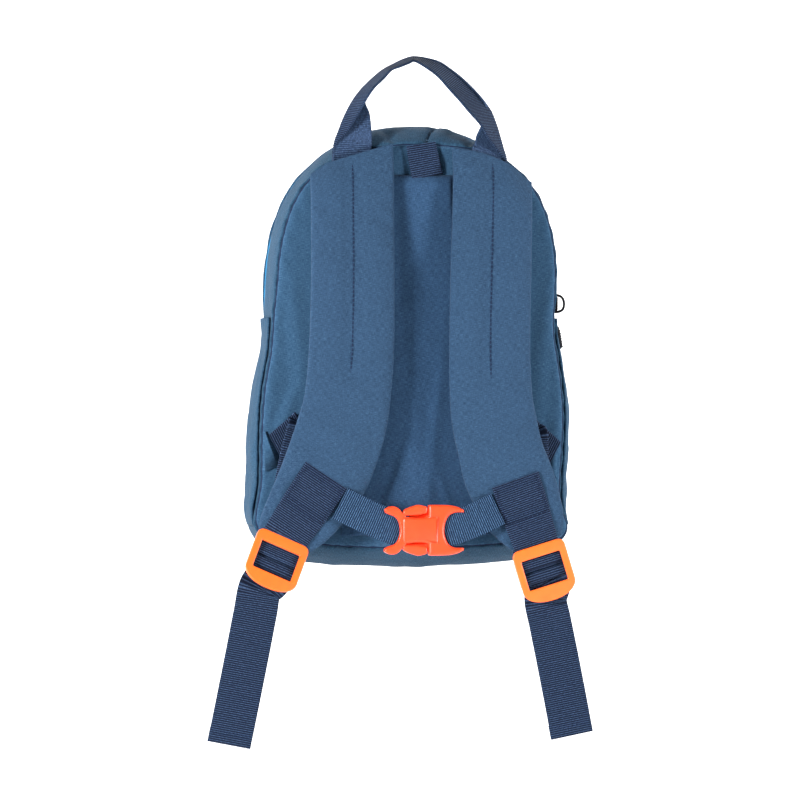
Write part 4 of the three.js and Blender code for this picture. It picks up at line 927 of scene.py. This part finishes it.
def chest_piece(name, hang):
    """Chest webbing from beside the patch into the buckle."""
    side = hang["side"]
    patch_across, patch_down = lean_frame(side, hang["patch_lean"])
    start = (lock_place(hang)[0] - patch_down * hang["chest_share"] * hang["patch"]
             - side * patch_across * (PATCH_WIDTH / 2 + CLEARANCE + CLOTH_GAP)
             + np.array([0, -BUCKLE_THICKNESS * 0.48, 0]))
    mouth = BUCKLE_CENTRE + np.array([side * CHEST_END, 0, -0.6])
    along = unit(mouth - start)
    square = np.array([-along[2], 0, along[0]]) * -side
    points, wide = [], []
    for i in range(7):
        t = i / 6
        sag = CHEST_SAG * math.sin(math.pi * t)
        points.append(lerp(start, mouth, t) - np.array([0, sag, sag]))
        wide.append(lerp(square, np.array([0, 0, 1.0]), 0.4 * t * t))
    return webbing_piece("chest_strap_" + name, points, wide, CHEST_WIDTH, CHEST_WEBBING)


# Grab handle: a row per section with root, far and near corners, as in the frame.
HANDLE = [
    ((-0.55, -1.24, -0.94), (-0.97, -1.26, -0.94), (-1, -1.26, -0.94)),
    ((-0.55, -0.95, -0.94), (-1, -0.98, -0.94), (-0.98, -0.99, -0.99)),
    ((-0.55, -0.8, -0.9), (-0.93, -0.77, -0.84), (-0.83, -0.8, -1.02)),
    ((-0.56, -0.61, -0.78), (-0.84, -0.59, -0.66), (-0.72, -0.62, -1.06)),
    ((-0.6, -0.48, -0.62), (-0.735, -0.43, -0.48), (-0.63, -0.455, -1.1)),
    ((-0.585, -0.3, -0.4), (-0.61, -0.295, -0.2), (-0.54, -0.32, -1.1)),
    ((-0.47, -0.195, -0.2), (-0.49, -0.185, 0), (-0.415, -0.205, -0.92)),
    ((-0.345, -0.085, 0), (-0.36, -0.08, 0.2), (-0.31, -0.1, -0.74)),
    ((-0.22, -0.015, 0.12), (-0.23, -0.005, 0.34), (-0.2, -0.055, -0.6)),
    ((-0.08, 0.06, 0.24), (-0.07, 0.07, 0.44), (-0.09, -0.01, -0.52)),
    ((0.05, 0.09, 0.28), (0.07, 0.1, 0.48), (-0.02, 0.014, -0.48)),
    ((0.29, 0.035, 0.24), (0.32, 0.055, 0.44), (0.13, -0.07, -0.48)),
    ((0.43, -0.06, 0.16), (0.465, -0.035, 0.36), (0.255, -0.17, -0.52)),
    ((0.58, -0.19, 0.04), (0.615, -0.16, 0.24), (0.375, -0.315, -0.6)),
    ((0.745, -0.37, -0.16), (0.78, -0.355, 0.04), (0.49, -0.46, -0.76)),
    ((0.8, -0.52, -0.34), (0.885, -0.51, -0.16), (0.575, -0.58, -0.92)),
    ((0.74, -0.7, -0.56), (0.935, -0.685, -0.42), (0.69, -0.72, -1.02)),
    ((0.665, -0.84, -0.72), (0.96, -0.84, -0.66), (0.77, -0.865, -1.06)),
    ((0.63, -0.94, -0.88), (0.985, -0.99, -0.82), (0.86, -0.98, -1.06)),
    ((0.6, -0.98, -0.94), (1.01, -1.12, -0.94), (0.96, -1.11, -0.98)),
    ((0.58, -1.2, -0.94), (0.98, -1.26, -0.94), (1, -1.26, -0.94)),
]


HANDLE_COLUMNS, SOFTEN_ACROSS, SOFTEN_ALONG = 27, 5, 10


def handle_piece():
    """The folded grab handle: each section bends at its far corner and is then softened."""
    scale = np.array([HANDLE_SPAN, HANDLE_RISE, WIDE_WEBBING])
    rows = np.array(HANDLE) * scale
    rows = rows[:, :, [0, 2, 1]].reshape(len(HANDLE), 9)
    fine = spline(rows, 10)
    at, _, fine = resample(fine[:, 3:6], RIB_PITCH / 4, fine)
    cols = HANDLE_COLUMNS
    grid = np.empty((len(at), cols, 3))
    for i, row in enumerate(fine):
        root, far, near = row[0:3], row[3:6], row[6:9]
        a, b = np.linalg.norm(far - root), np.linalg.norm(near - far)
        q = np.linspace(0, a + b, cols)
        grid[i] = np.where(q[:, None] < a, root + (far - root) * (q / a)[:, None],
                           far + (near - far) * ((q - a) / b)[:, None])
    for _ in range(SOFTEN_ACROSS):
        grid[:, 1:-1] = (grid[:, :-2] + 2 * grid[:, 1:-1] + grid[:, 2:]) / 4
    for _ in range(SOFTEN_ALONG):
        grid[1:-1] = (grid[:-2] + 2 * grid[1:-1] + grid[2:]) / 4
    normal = unit(np.cross(np.gradient(grid, axis=0), np.gradient(grid, axis=1)))
    rib = RIB_HEIGHT * np.cos(2 * math.pi * at / RIB_PITCH)[:, None, None]
    width = np.linspace(-WIDE_WEBBING / 2, WIDE_WEBBING / 2, cols)
    uvs = np.stack([np.broadcast_to(width, (len(at), cols)), np.repeat(at[:, None], cols, 1)], -1)
    outer = grid - normal * (WEBBING / 2) + normal * rib
    return shell("handle_webbing", outer, WEBBING - 0.1, uvs, STRAP_WEBBING)


def rein_piece():
    """The end of the rein webbing between the top seam and the pad."""
    y = BACK_PLANE - CLOTH_GAP - WEBBING / 2
    points = [(0.6, y, -REIN_DROP + 0.5), (2.2, y - 0.9, -(REIN_DROP + PAD_TOP_DROP) / 2),
              (4.2, y - 1.2, -PAD_TOP_DROP - 1)]
    across = [(1, 0.05, 0.12), (1, -0.06, 0.08), (1, 0.05, 0.06)]
    widths = [REIN_WIDTH + 3, REIN_WIDTH + 3.5, REIN_WIDTH + 4]
    return webbing_piece("rein_loop", np.array(points, float), np.array(across, float), widths)


def tab_piece(name, side):
    """Cloth tab in the side seam, which holds the adjusting webbing."""
    tab = anchor_place(name, "tab")
    y = BACK_PLANE - CLEARANCE
    seam_x = side * (float(half_width_at(tab[2])) - SIDE_INSET - TAB_CLOTH) + float(middle_x(tab[2], 0))
    inner = tab[0] - side * TAB_WIDTH * 0.17
    corners = [(seam_x, 0.6), (inner, -0.23), (inner + side * TAB_CLOTH, -0.73), (seam_x, -0.93)]
    shape = fillet([(x, tab[2] + rise * TAB_WIDTH) for x, rise in corners], 0.6)
    rings = [[(x, y - d, z) for x, z in shape] for d in (0, 0.3, TAB_CLOTH)]
    return loft("tab_cloth_" + name, rings, [shape] * 3, BODY)


# Moulded plastic.
def fillet(points, radius, steps=4):
    """Rounds each corner of a closed outline."""
    out = []
    count = len(points)
    pts = [np.array(p, float) for p in points]
    for i in range(count):
        p, before, after = pts[i], pts[i - 1], pts[(i + 1) % count]
        r = radius[i] if isinstance(radius, (list, tuple)) else radius
        cut = min(r, 0.45 * np.linalg.norm(before - p), 0.45 * np.linalg.norm(after - p))
        a = p + unit(before - p) * cut
        b = p + unit(after - p) * cut
        for k in range(steps + 1):
            t = k / steps
            out.append(tuple((1 - t) ** 2 * a + 2 * t * (1 - t) * p + t ** 2 * b))
    return out


def evaluated(thing):
    """A new mesh of a thing as its modifiers leave it."""
    bpy.context.view_layer.update()
    return bpy.data.meshes.new_from_object(thing.evaluated_get(bpy.context.evaluated_depsgraph_get()))


def moulded(outline, low, high, bevel, holes=()):
    """A plate with rounded edges from an outline in its own plane, as a new mesh."""
    curve = bpy.data.curves.new("outline", "CURVE")
    curve.dimensions = "2D"
    curve.fill_mode = "BOTH"
    curve.extrude = (high - low) / 2 - bevel
    curve.bevel_depth = bevel
    curve.bevel_resolution = 3
    curve.offset = -bevel
    for ring in [outline, *holes]:
        line = curve.splines.new("POLY")
        line.points.add(len(ring) - 1)
        for point, (x, y) in zip(line.points, ring):
            point.co = (x, y, 0, 1)
        line.use_cyclic_u = True
    thing = bpy.data.objects.new("outline", curve)
    bpy.context.scene.collection.objects.link(thing)
    mesh = evaluated(thing)
    bpy.data.objects.remove(thing)
    mesh.transform(Matrix.Translation((0, 0, (high + low) / 2)))
    return mesh


MERGE_REACH, SHARP_ANGLE = 0.002, 40


def joined(name, meshes, matrix, material):
    """One object of several closed meshes, united, put in place and shaded with soft edges."""
    base = None
    for mesh in meshes:
        thing = bpy.data.objects.new(name, mesh)
        bpy.context.scene.collection.objects.link(thing)
        weld = thing.modifiers.new("weld", "WELD")
        weld.merge_threshold = MERGE_REACH
        if base is None:
            base = thing
            continue
        union = base.modifiers.new("union", "BOOLEAN")
        union.operation = "UNION"
        union.object = thing
        made = evaluated(base)
        base.modifiers.clear()
        base.data = made
        bpy.data.objects.remove(thing)
    made = evaluated(base)
    base.modifiers.clear()
    base.data = made
    made.transform(matrix)
    made.transform(Matrix.Scale(MM, 4))
    made.name = name
    made.materials.clear()
    made.materials.append(material)
    made.shade_smooth()
    made.set_sharp_from_angle(angle=math.radians(SHARP_ANGLE))
    return face_outwards(base)


def basis(origin, right, up, forward):
    m = Matrix.Identity(4)
    for i, axis in enumerate((right, up, forward, origin)):
        for j in range(3):
            m[j][i] = float(axis[j])
    return m


def bar_mesh(start, end, half):
    """A bar across the lock, from its section with round ends."""
    ring = arc(end, BAR_CENTRE, BAR_RADIUS, -90, 90, 7) + arc(start, BAR_CENTRE, BAR_RADIUS, 90, 270, 7)
    verts = [(a, -d, f) for a in (-half, half) for d, f in ring]
    n = len(ring)
    faces = [(i, (i + 1) % n, n + (i + 1) % n, n + i) for i in range(n)]
    faces += [tuple(reversed(range(n))), tuple(range(n, 2 * n))]
    mesh = bpy.data.meshes.new("bar")
    mesh.from_pydata(verts, [], faces)
    return mesh


def box_outline(x0, x1, y0, y1):
    return [(x0, y0), (x1, y0), (x1, y1), (x0, y1)]


LOCK_CORNER, LOCK_WALL = 4.5, 1.4


def lock_piece(name, hang):
    """Ladder lock: a plate with a window and a round lip, two side rails and two bars."""
    across, down, forward, place = lock_place(hang)[1:]
    half = LOCK_WIDTH / 2
    inside = half - LOCK_RAIL - LOCK_WALL
    lip_top = LOCK_LENGTH - LOCK_LIP
    lip = []
    for a in np.radians(np.linspace(0, 180, 37)):
        x = half * math.copysign(abs(math.cos(a)) ** 0.9, math.cos(a))
        lip.append((x, -lip_top - (LOCK_LIP + 0.3) * math.sin(a) ** 0.95))
    upper = [(-half, -lip_top), (-half, 0), (half, 0), (half, -lip_top)]
    top = fillet(upper, [0, LOCK_CORNER, LOCK_CORNER, 0], 8)
    window = fillet(box_outline(-inside, inside, -LOCK_BAND, -lip_top), 0.9)
    plate = moulded(top[1:-1] + lip[1:-1], PLATE_BACK, PLATE_BACK + LOCK_PLATE, 0.6, [window])
    meshes = [plate]
    for side in (-1, 1):
        x0, x1 = sorted((side * (half - LOCK_RAIL + 0.2), side * (half - 0.6)))
        rail = fillet(box_outline(x0, x1, -LOCK_BAND, -lip_top + 2), 0.6)
        meshes.append(moulded(rail, -LOCK_DEPTH, PLATE_BACK + LOCK_PLATE * 0.6, 0.4))
    meshes.append(bar_mesh(FIXED_BAR_TOP + BAR_RADIUS, FIXED_BAR_END, half - LOCK_RAIL / 2))
    meshes.append(bar_mesh(SLIDE_BAR_START, SLIDE_BAR_END, half - LOCK_RAIL / 2))
    spot = basis(place(0, 0, 0), across, -down, forward)
    return joined("lock_moulding_" + name, meshes, spot, LOCK_PLASTIC)


def mirror_outline(points):
    return list(points) + [(x, -z) for x, z in reversed(points)]


# Outlines of the buckle: X from its middle and height over its midline, with the corner radii.
SPINE = [(-12.6, 8), (-4, 6.6), (8, 8), (8, -8), (-4, -6.6), (-12.6, -8)]
SPINE_RADII = [3, 6, 0.5, 0.5, 6, 3]
SOCKET_UPPER = [(2.4, 14.2), (9, 14.2), (15, 14), (19.6, 12.9), (22.5, 11), (22.6, 9.9), (17.2, 9.9),
                (13.6, 8), (11.4, 3)]
SOCKET_RADII = [1.4, 3, 3, 2, 0.9, 0.7, 2, 3, 4]
UNDER_PLATE = [(-11.8, 10.6), (4, 12.2), (4, -12.2), (-11.8, -10.6)]
HEAD_UPPER = [(-10.2, 8.2), (-12.4, 9.8), (-14.3, 12.2), (-16.7, 13.5), (-20, 13.4), (-22.7, 11.8),
              (-22.2, 9.9), (-20, 8.9), (-16.7, 7.8), (-14.6, 5.2), (-13.7, 1.6)]
ARM = [(-12, 8.2), (-4.6, 8.4), (1.7, 9.4), (1.7, 13.2), (-3.4, 14.4), (-9.2, 12.6), (-12, 11)]


def buckle_pieces():
    """The socket half on the right and the plug half with its two arms on the left."""
    place = basis(BUCKLE_CENTRE, (1, 0, 0), (0, 0, 1), (0, -1, 0))
    half = BUCKLE_THICKNESS / 2
    body = fillet(mirror_outline(SOCKET_UPPER), SOCKET_RADII + SOCKET_RADII[::-1])
    socket = [moulded(fillet(UNDER_PLATE, 2.5), -half + 0.3, -0.6, 0.5),
              moulded(fillet(SPINE, SPINE_RADII), -half + 0.6, half, 1.6),
              moulded(body, -half + 0.3, half - 0.7, 1.6)]
    socket_piece = joined("buckle_socket", socket, place, BUCKLE_PLASTIC)
    plug = [moulded(fillet(mirror_outline(HEAD_UPPER), 1.4), -half + 0.9, half - 0.9, 0.9)]
    for arm in ([(x, -z) for x, z in reversed(ARM)], ARM):
        plug.append(moulded(fillet(arm, 1.3), -half + 1.4, half - 1.2, 0.8))
    return socket_piece, joined("buckle_plug", plug, place, BUCKLE_PLASTIC)


# Stitches.
# Length of a stitch, the gap after it and the thread's radius.
STITCHES = {"dart": (2.0, 0.5, 0.34), "patch": (2.0, 0.6, 0.3), "hem": (1.8, 0.6, 0.3),
            "seam": (2.2, 1.3, 0.16)}
STITCH_RING, SEAM_STITCH_REACH = 6, 70
STITCH_ENDS = ((0, 0.35), (0.18, 1), (0.82, 1), (1, 0.35))


def stitch_faces(base):
    faces = []
    for a in range(base, base + 3 * STITCH_RING, STITCH_RING):
        for m in range(STITCH_RING):
            n = (m + 1) % STITCH_RING
            faces.append((a + m, a + n, a + STITCH_RING + n, a + STITCH_RING + m))
    faces.append(tuple(base + m for m in reversed(range(STITCH_RING))))
    faces.append(tuple(base + 3 * STITCH_RING + m for m in range(STITCH_RING)))
    return faces


def stitch_row(name, paths, material, kind):
    """Runs of thread stitches along paths, each stitch a small rounded bead half sunk in the cloth."""
    length, gap, radius = STITCHES[kind]
    verts, faces = [], []
    up = np.array([0, -1.0, 0])
    angle = 2 * math.pi * np.arange(STITCH_RING)[:, None] / STITCH_RING
    for path in paths:
        at, path = resample(np.asarray(path, float), 0.25)
        pos = 0.6
        while pos + length < at[-1]:
            faces += stitch_faces(len(verts))
            for share, swell in STITCH_ENDS:
                p, q = (np.array([np.interp(pos + share * length + more, at, path[:, c]) for c in range(3)])
                        for more in (0, 0.2))
                side = unit(np.cross(unit(q - p), up))
                sink = radius * 0.5 if swell == 1 else 0
                rise = up * (radius * swell * np.sin(angle) + sink)
                verts += list(p + side * radius * swell * np.cos(angle) + rise)
            pos += length + gap
    return new_object(name, verts, faces, None, material)


DART_STITCH_DEPTH = 2.3


def strap_surface(name, side, share):
    """A place on the middle of the strap's front face, at a share of its table."""
    rows = strap_rows(name)
    index = share * (len(rows) - 1)
    i = min(int(index), len(rows) - 2)
    row = lerp(rows[i], rows[i + 1], index - i)
    centre, _, _, thick = strap_frame(row, side)
    rise = float(strap_rise(name, side, row, 0.0))
    return centre + np.array([0, -1.25 * thick / 2, rise])


def strap_stitches(name, side):
    rows = strap_rows(name)
    shares = [i / (len(rows) - 1) for i, row in enumerate(rows) if 0.02 < row[0] < DART_END]
    path = [strap_surface(name, side, s) + np.array([0, DART_STITCH_DEPTH, 0]) for s in shares]
    return stitch_row("dart_stitches_" + name, [path], DARK_THREAD_AND_SEAM_SHADOW, "dart")


def patch_stitches(name, hang):
    origin = lock_place(hang)[0]
    across, down = lean_frame(hang["side"], hang["patch_lean"])
    rise = STRAP_THICKNESS * (1 - STRAP_END_SHARE)
    half, near, far = PATCH_WIDTH / 2 - 1.8, 0.42 * hang["patch"], hang["patch"] - 1.6

    def spot(a, d):
        return origin + across * a - down * d + np.array([0, -rise * d / hang["patch"] - WEBBING / 2, 0])

    box = [(-half, near), (-half, far), (half, far), (half, near), (-half, near)]
    rows = [[spot(a, d) for a, d in box]]
    for d in (near + 3, far - 2.4):
        rows.append([spot(-half, d), spot(half, d)])
    return stitch_row("patch_stitches_" + name, rows, DARK_THREAD_AND_SEAM_SHADOW, "patch")


def hem_stitches(name, hang):
    start, across, down = tail_frame(hang)
    half, end = TAIL_WIDTH / 2 - 1, hang["tail"] - HEM_LENGTH + 1.2
    rows = []
    for d in (end, end + 1.6):
        middle = start + down * d + np.array([0, -WEBBING / 2 - 0.05, 0])
        rows.append([middle - across * half, middle + across * half])
    return stitch_row("hem_stitches_" + name, rows, DARK_THREAD_AND_SEAM_SHADOW, "hem")


def seam_stitches():
    length = np.linspace(-SEAM_STITCH_REACH, SEAM_STITCH_REACH, 200)
    path = gusset_points(length, 0.065, 0.15)
    return stitch_row("seam_stitches", [path], THREAD_LIGHT, "seam")


def tube(name, path, radius, side, material, closed=False):
    """A round cord along a path. Radius is one number or one for each point, side a direction across."""
    around, count = 10, len(path)
    along = np.roll(path, -1, 0) - np.roll(path, 1, 0) if closed else np.gradient(path, axis=0)
    first = unit(np.cross(unit(along), np.array(side, float)))
    second = unit(np.cross(unit(along), first))
    angle = np.linspace(0, 2 * math.pi, around, endpoint=False)
    radius = np.broadcast_to(np.asarray(radius, float), (count,))[:, None, None]
    turn = first[:, None] * np.cos(angle)[:, None] + second[:, None] * np.sin(angle)[:, None]
    rings = path[:, None] + radius * turn
    faces = []
    for i in range(count if closed else count - 1):
        low, high = i * around, (i + 1) % count * around
        for k in range(around):
            n = (k + 1) % around
            faces.append((low + k, high + k, high + n, low + n))
    if not closed:
        faces += [tuple(range(around)), tuple(range((count - 1) * around, count * around))[::-1]]
    return face_outwards(new_object(name, rings.reshape(-1, 3), faces, None, material))


def painted_seam_shadow():
    """A thin dark cord along the seam between the gusset and the back panel, all round: a painted shadow in
    the seam's groove, not a real binding.
    """
    length = lengths_round(480)
    path = gusset_points(length, 0.0, -0.1) + np.array([0, -0.7, 0])
    return tube("painted_seam_shadow", path, 0.6 + 0.06 * np.sin(length / 1.1), (0, 1, 0), DARK_THREAD_AND_SEAM_SHADOW, closed=True)


# Zip.
def zip_tape():
    length = np.linspace(-ZIP_END + 0.3, ZIP_END - 0.3, 500)[:, None]
    half = ZIP_WIDTH / 2 / depth_at(outline_at(length[:, 0])[1])[:, None]
    across = np.linspace(-1, 1, 13)[None, :]
    lift = -0.5 + 0.3 * np.exp(-((np.abs(across) - 0.5) / 0.3) ** 2)
    grid = gusset_points(length + 0 * across, 0.5 + half * across, lift + 0 * length)
    uvs = np.stack([across * ZIP_WIDTH / 2 + 0 * length, length + 0 * across], -1)
    return shell("zip_tape", grid, 0.9, uvs, ZIP_TAPE)


# One tooth: half width, half length and rise of its three levels, and the pitch between teeth.
TOOTH_LEVELS = [(1.25, 0.5, -0.35), (1.25, 0.5, 0.35), (0.75, 0.3, 0.6)]
TOOTH_PITCH, TOOTH_SHIFT = 1.6, 0.55


def zip_teeth():
    verts, faces = [], []
    aside = np.array([0, 1.0, 0])
    for i in range(int(2 * (ZIP_END - 2) / TOOTH_PITCH)):
        at = -ZIP_END + 2 + i * TOOTH_PITCH
        _, z, nx, nz = outline_at(at)
        share = 0.5 + (1 if i % 2 else -1) * TOOTH_SHIFT / float(depth_at(z))
        p, q = (gusset_points(np.array(spot), share, -0.3) for spot in (at, at + 0.5))
        along, out = unit(q - p), np.array([float(nx), 0, float(nz)])
        base = len(verts)
        for wide, long, rise in TOOTH_LEVELS:
            for a, b in ((-1, -1), (1, -1), (1, 1), (-1, 1)):
                verts.append(p + aside * a * wide + along * b * long + out * rise)
        for level in (base, base + 4):
            for m in range(4):
                a, b = level + m, level + (m + 1) % 4
                faces.append((a, b, b + 4, a + 4))
        faces += [(base + 3, base + 2, base + 1, base), (base + 8, base + 9, base + 10, base + 11)]
    return new_object("zip_teeth", verts, faces, None, ZIP_TAPE, flat=True)


# The zip's bridge ring and the pulls that hang on it, from the frame's pivot.
PULLER_PIVOT = np.array([83.74, 12.16, -138.05])
PULLER_LENGTH, CORD_STAND_OFF, CORD_ASIDE = 24, 5.0, 2.7
BRIDGE_RADIUS, EYE_RADIUS, CORD_THIN, CORD_THICK = 0.8, 0.6, 0.45, 1.05
# The ring beside the slider: out from the bag's side, and up.
BRIDGE = [(1.4, -4.2), (5.0, -4.8), (8.2, -3.4), (9.1, 0), (8.0, 3.4), (5.0, 4.8), (1.4, 4.2)]


def zip_hardware():
    """The slider's ring, and the puller's eye and cord."""
    face = gusset_points(np.array(length_at_drop(SLIDER_DROP)), 0.5)
    ring = spline(BRIDGE, 8)
    path = np.stack([face[0] + ring[:, 0], face[1] + 0 * ring[:, 0], -SLIDER_DROP + ring[:, 1]], 1)
    bridge = tube("slider_bridge", path, BRIDGE_RADIUS, (0, 1, 0), ZIP_METAL)
    turn = np.linspace(0, 2 * math.pi, 40, endpoint=False)
    loop = PULLER_PIVOT + np.stack([0 * turn, 1.7 * np.sin(turn) + 0.4, 1.9 * np.cos(turn) - 1.9], 1)
    eye = tube("puller_eye", loop, EYE_RADIUS, (1, 0, 0), ZIP_METAL, closed=True)
    drop = np.linspace(3.6, PULLER_LENGTH, 90)
    z = PULLER_PIVOT[2] - drop
    wall = np.array([gusset_points(np.array(length_at_drop(-float(h))), 0.5)[0] for h in z])
    pivot_x, pivot_y, _ = PULLER_PIVOT
    x = pivot_x + (np.maximum(pivot_x, wall + CORD_STAND_OFF) - pivot_x) * smooth((drop - 6) / 9)
    y = pivot_y + CORD_ASIDE - 1.2 + 1.2 * smooth((drop - 5) / 4)
    taper = smooth((drop - 8.5) / 3) * smooth((PULLER_LENGTH - drop) / 1.2)
    radius = CORD_THIN + taper * (CORD_THICK + 0.16 * np.sin(drop * 4.2))
    pull = tube("puller_cord", np.stack([x, y, z], 1), radius, (0, 1, 0), THREAD_BLACK)
    return bridge, eye, pull


def restyle(node, material):
    """Keeps a solid's own shape and gives it a material."""
    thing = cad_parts[node]
    thing.data.materials.clear()
    thing.data.materials.append(material)


# Camera, light and floor, in metres but for the pixel's millimetres. The lights have a name, a place,
# an aim, a size and a power.
PIXEL = 0.57
CAMERA_AZIMUTH, CAMERA_DISTANCE, SENSOR = -9.0, 2.4, 36
HANG_PIXEL = (413.3, 64.0)
FRAME_PIXELS = 800
LIGHTS = [
    ("key", (-1.5, -1.2, 0.1), (0, 0, -0.2), 0.4, 66),
    ("fill", (1.6, -1.1, -0.1), (0, 0, -0.2), 0.4, 42),
    ("paper_light", (-1.1, 0.35, 0.5), (-0.1, 1.6, -0.1), 0.8, 30),
    ("paper_light", (1.1, 0.35, 0.5), (0.1, 1.6, -0.1), 0.8, 30),
]
WORLD_LIGHT = 0.08
FLOOR_Z, FLOOR_NEAR, FLOOR_FAR, FLOOR_HALF_WIDTH, WALL_HEIGHT, WALL_BEND = -0.47, -2.5, 1.6, 4, 2.4, 0.6
PAPER, PAPER_GRAIN = (238.61,) * 3, (236.15,) * 3


def add_camera():
    """The camera that sees the hanging bag as the photo does."""
    a = math.radians(CAMERA_AZIMUTH)
    right = Vector((math.cos(a), math.sin(a), 0))
    back = Vector((math.sin(a), -math.cos(a), 0))
    shift_x, shift_y = ((FRAME_PIXELS / 2 - hang) * PIXEL * MM for hang in HANG_PIXEL)
    target = right * shift_x + Vector((0, 0, -shift_y))
    data = bpy.data.cameras.new("camera")
    data.sensor_width = SENSOR
    data.lens = data.sensor_width * CAMERA_DISTANCE / (FRAME_PIXELS * PIXEL * MM)
    camera = bpy.data.objects.new("camera", data)
    camera.location = target + back * CAMERA_DISTANCE
    camera.rotation_mode = "QUATERNION"
    camera.rotation_quaternion = (-back).to_track_quat("-Z", "Y")
    bpy.context.scene.collection.objects.link(camera)
    bpy.context.scene.camera = camera


def add_area(name, place, aim, size, power):
    data = bpy.data.lights.new(name, "AREA")
    data.shape = "RECTANGLE"
    data.size = size
    data.size_y = size
    data.energy = power
    light = bpy.data.objects.new(name, data)
    light.location = place
    light.rotation_mode = "QUATERNION"
    light.rotation_quaternion = (Vector(aim) - Vector(place)).to_track_quat("-Z", "Y")
    bpy.context.scene.collection.objects.link(light)


def add_studio():
    for light in LIGHTS:
        add_area(*light)
    world = bpy.data.worlds.new("studio")
    bpy.context.scene.world = world
    world.use_nodes = True
    background = world.node_tree.nodes["Background"]
    background.inputs[0].default_value = (1, 1, 1, 1)
    background.inputs[1].default_value = WORLD_LIGHT
    bpy.context.scene.view_settings.view_transform = "Standard"


def clear_from_behind(mat):
    """The paper is clear from its back, so the bag also shows from the far side."""
    tree = mat.node_tree
    output = next(node for node in tree.nodes if node.type == "OUTPUT_MATERIAL")
    paper = output.inputs["Surface"].links[0].from_socket
    clear = add_node(tree, "ShaderNodeBsdfTransparent")
    mix = add_node(tree, "ShaderNodeMixShader")
    link(tree, add_node(tree, "ShaderNodeNewGeometry").outputs["Backfacing"], mix.inputs[0])
    link(tree, paper, mix.inputs[1])
    link(tree, clear.outputs[0], mix.inputs[2])
    link(tree, mix.outputs[0], output.inputs["Surface"])


def add_floor():
    """A pale floor that bends up into a wall behind the bag."""
    bend_y = FLOOR_FAR - WALL_BEND
    profile = [(FLOOR_NEAR, FLOOR_Z), (bend_y, FLOOR_Z)]
    for i in range(1, 13):
        a = math.radians(90 * i / 12)
        profile.append((bend_y + WALL_BEND * math.sin(a), FLOOR_Z + WALL_BEND * (1 - math.cos(a))))
    profile.append((FLOOR_FAR, WALL_HEIGHT))
    sides = (-FLOOR_HALF_WIDTH, FLOOR_HALF_WIDTH)
    verts = [(x / MM, y / MM, z / MM) for y, z in profile for x in sides]
    faces = [(2 * i, 2 * i + 1, 2 * i + 3, 2 * i + 2) for i in range(len(profile) - 1)]
    paper = plain_grain("studio paper", PAPER, PAPER_GRAIN, 0.9, scale=3.0)
    clear_from_behind(paper)
    floor = new_object("studio_floor", verts, faces, None, paper)


add_camera()
add_studio()
add_floor()


def dress(piece, slot, *nodes, body="root"):
    """Says what a piece rides on and which solids it stands for. The slot is not used."""
    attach(piece, body)
    if nodes:
        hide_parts(*nodes)
    return piece


dress(gusset_piece(), "gusset_cloth", "gusset")
dress(panel_piece("back_panel_cloth", 0, -1, BACK_BULGE, 0.5, BACK_FOLDS, BODY), "body_cloth", "back_panel")
dress(panel_piece("front_panel_cloth", 1, 1, FRONT_BULGE, 1.2, [], BODY), "body_cloth", "front_panel")
dress(pad_piece(), "pad_cloth", "back_pad")
dress(zip_tape(), "zip_tape", "main_zip")
dress(zip_teeth(), "zip_tape")
dress(handle_piece(), "webbing", "grab_handle")
dress(rein_piece(), "webbing", "rein_webbing")
dress(seam_stitches(), "gusset_cloth")
# The dark cord along the back seam is a painted shadow.
dress(painted_seam_shadow(), "gusset_cloth")
for name, hang in HANGS.items():
    side = hang["side"]
    dress(pocket_piece("pocket_cloth_" + name, side), "gusset_cloth", "side_pocket_" + name)
    dress(strap_piece(name, side), "body_cloth", "shoulder_strap_" + name)
    dress(patch_piece(name, hang), "webbing", "strap_patch_" + name)
    dress(adjuster_piece(name, hang), "webbing", "adjust_webbing_" + name)
    dress(hem_piece(name, hang), "webbing", "tail_hem_" + name)
    dress(chest_piece(name, hang), "webbing", "chest_webbing_" + name)
    dress(tab_piece(name, side), "body_cloth", "anchor_tab_" + name)
    dress(lock_piece(name, hang), "lock_orange", "ladder_lock_" + name)
    dress(strap_stitches(name, side), "body_cloth")
    dress(patch_stitches(name, hang), "webbing")
    dress(hem_stitches(name, hang), "webbing")
socket, plug = buckle_pieces()
dress(socket, "buckle_orange", "buckle_female")
dress(plug, "buckle_orange", "buckle_male")
restyle("zip_slider", ZIP_METAL)
bridge, eye, pull = zip_hardware()
dress(bridge, "dark_metal")
dress(eye, "dark_metal", "zip_puller", body="puller")
dress(pull, "dark_metal", "zip_puller", body="puller")
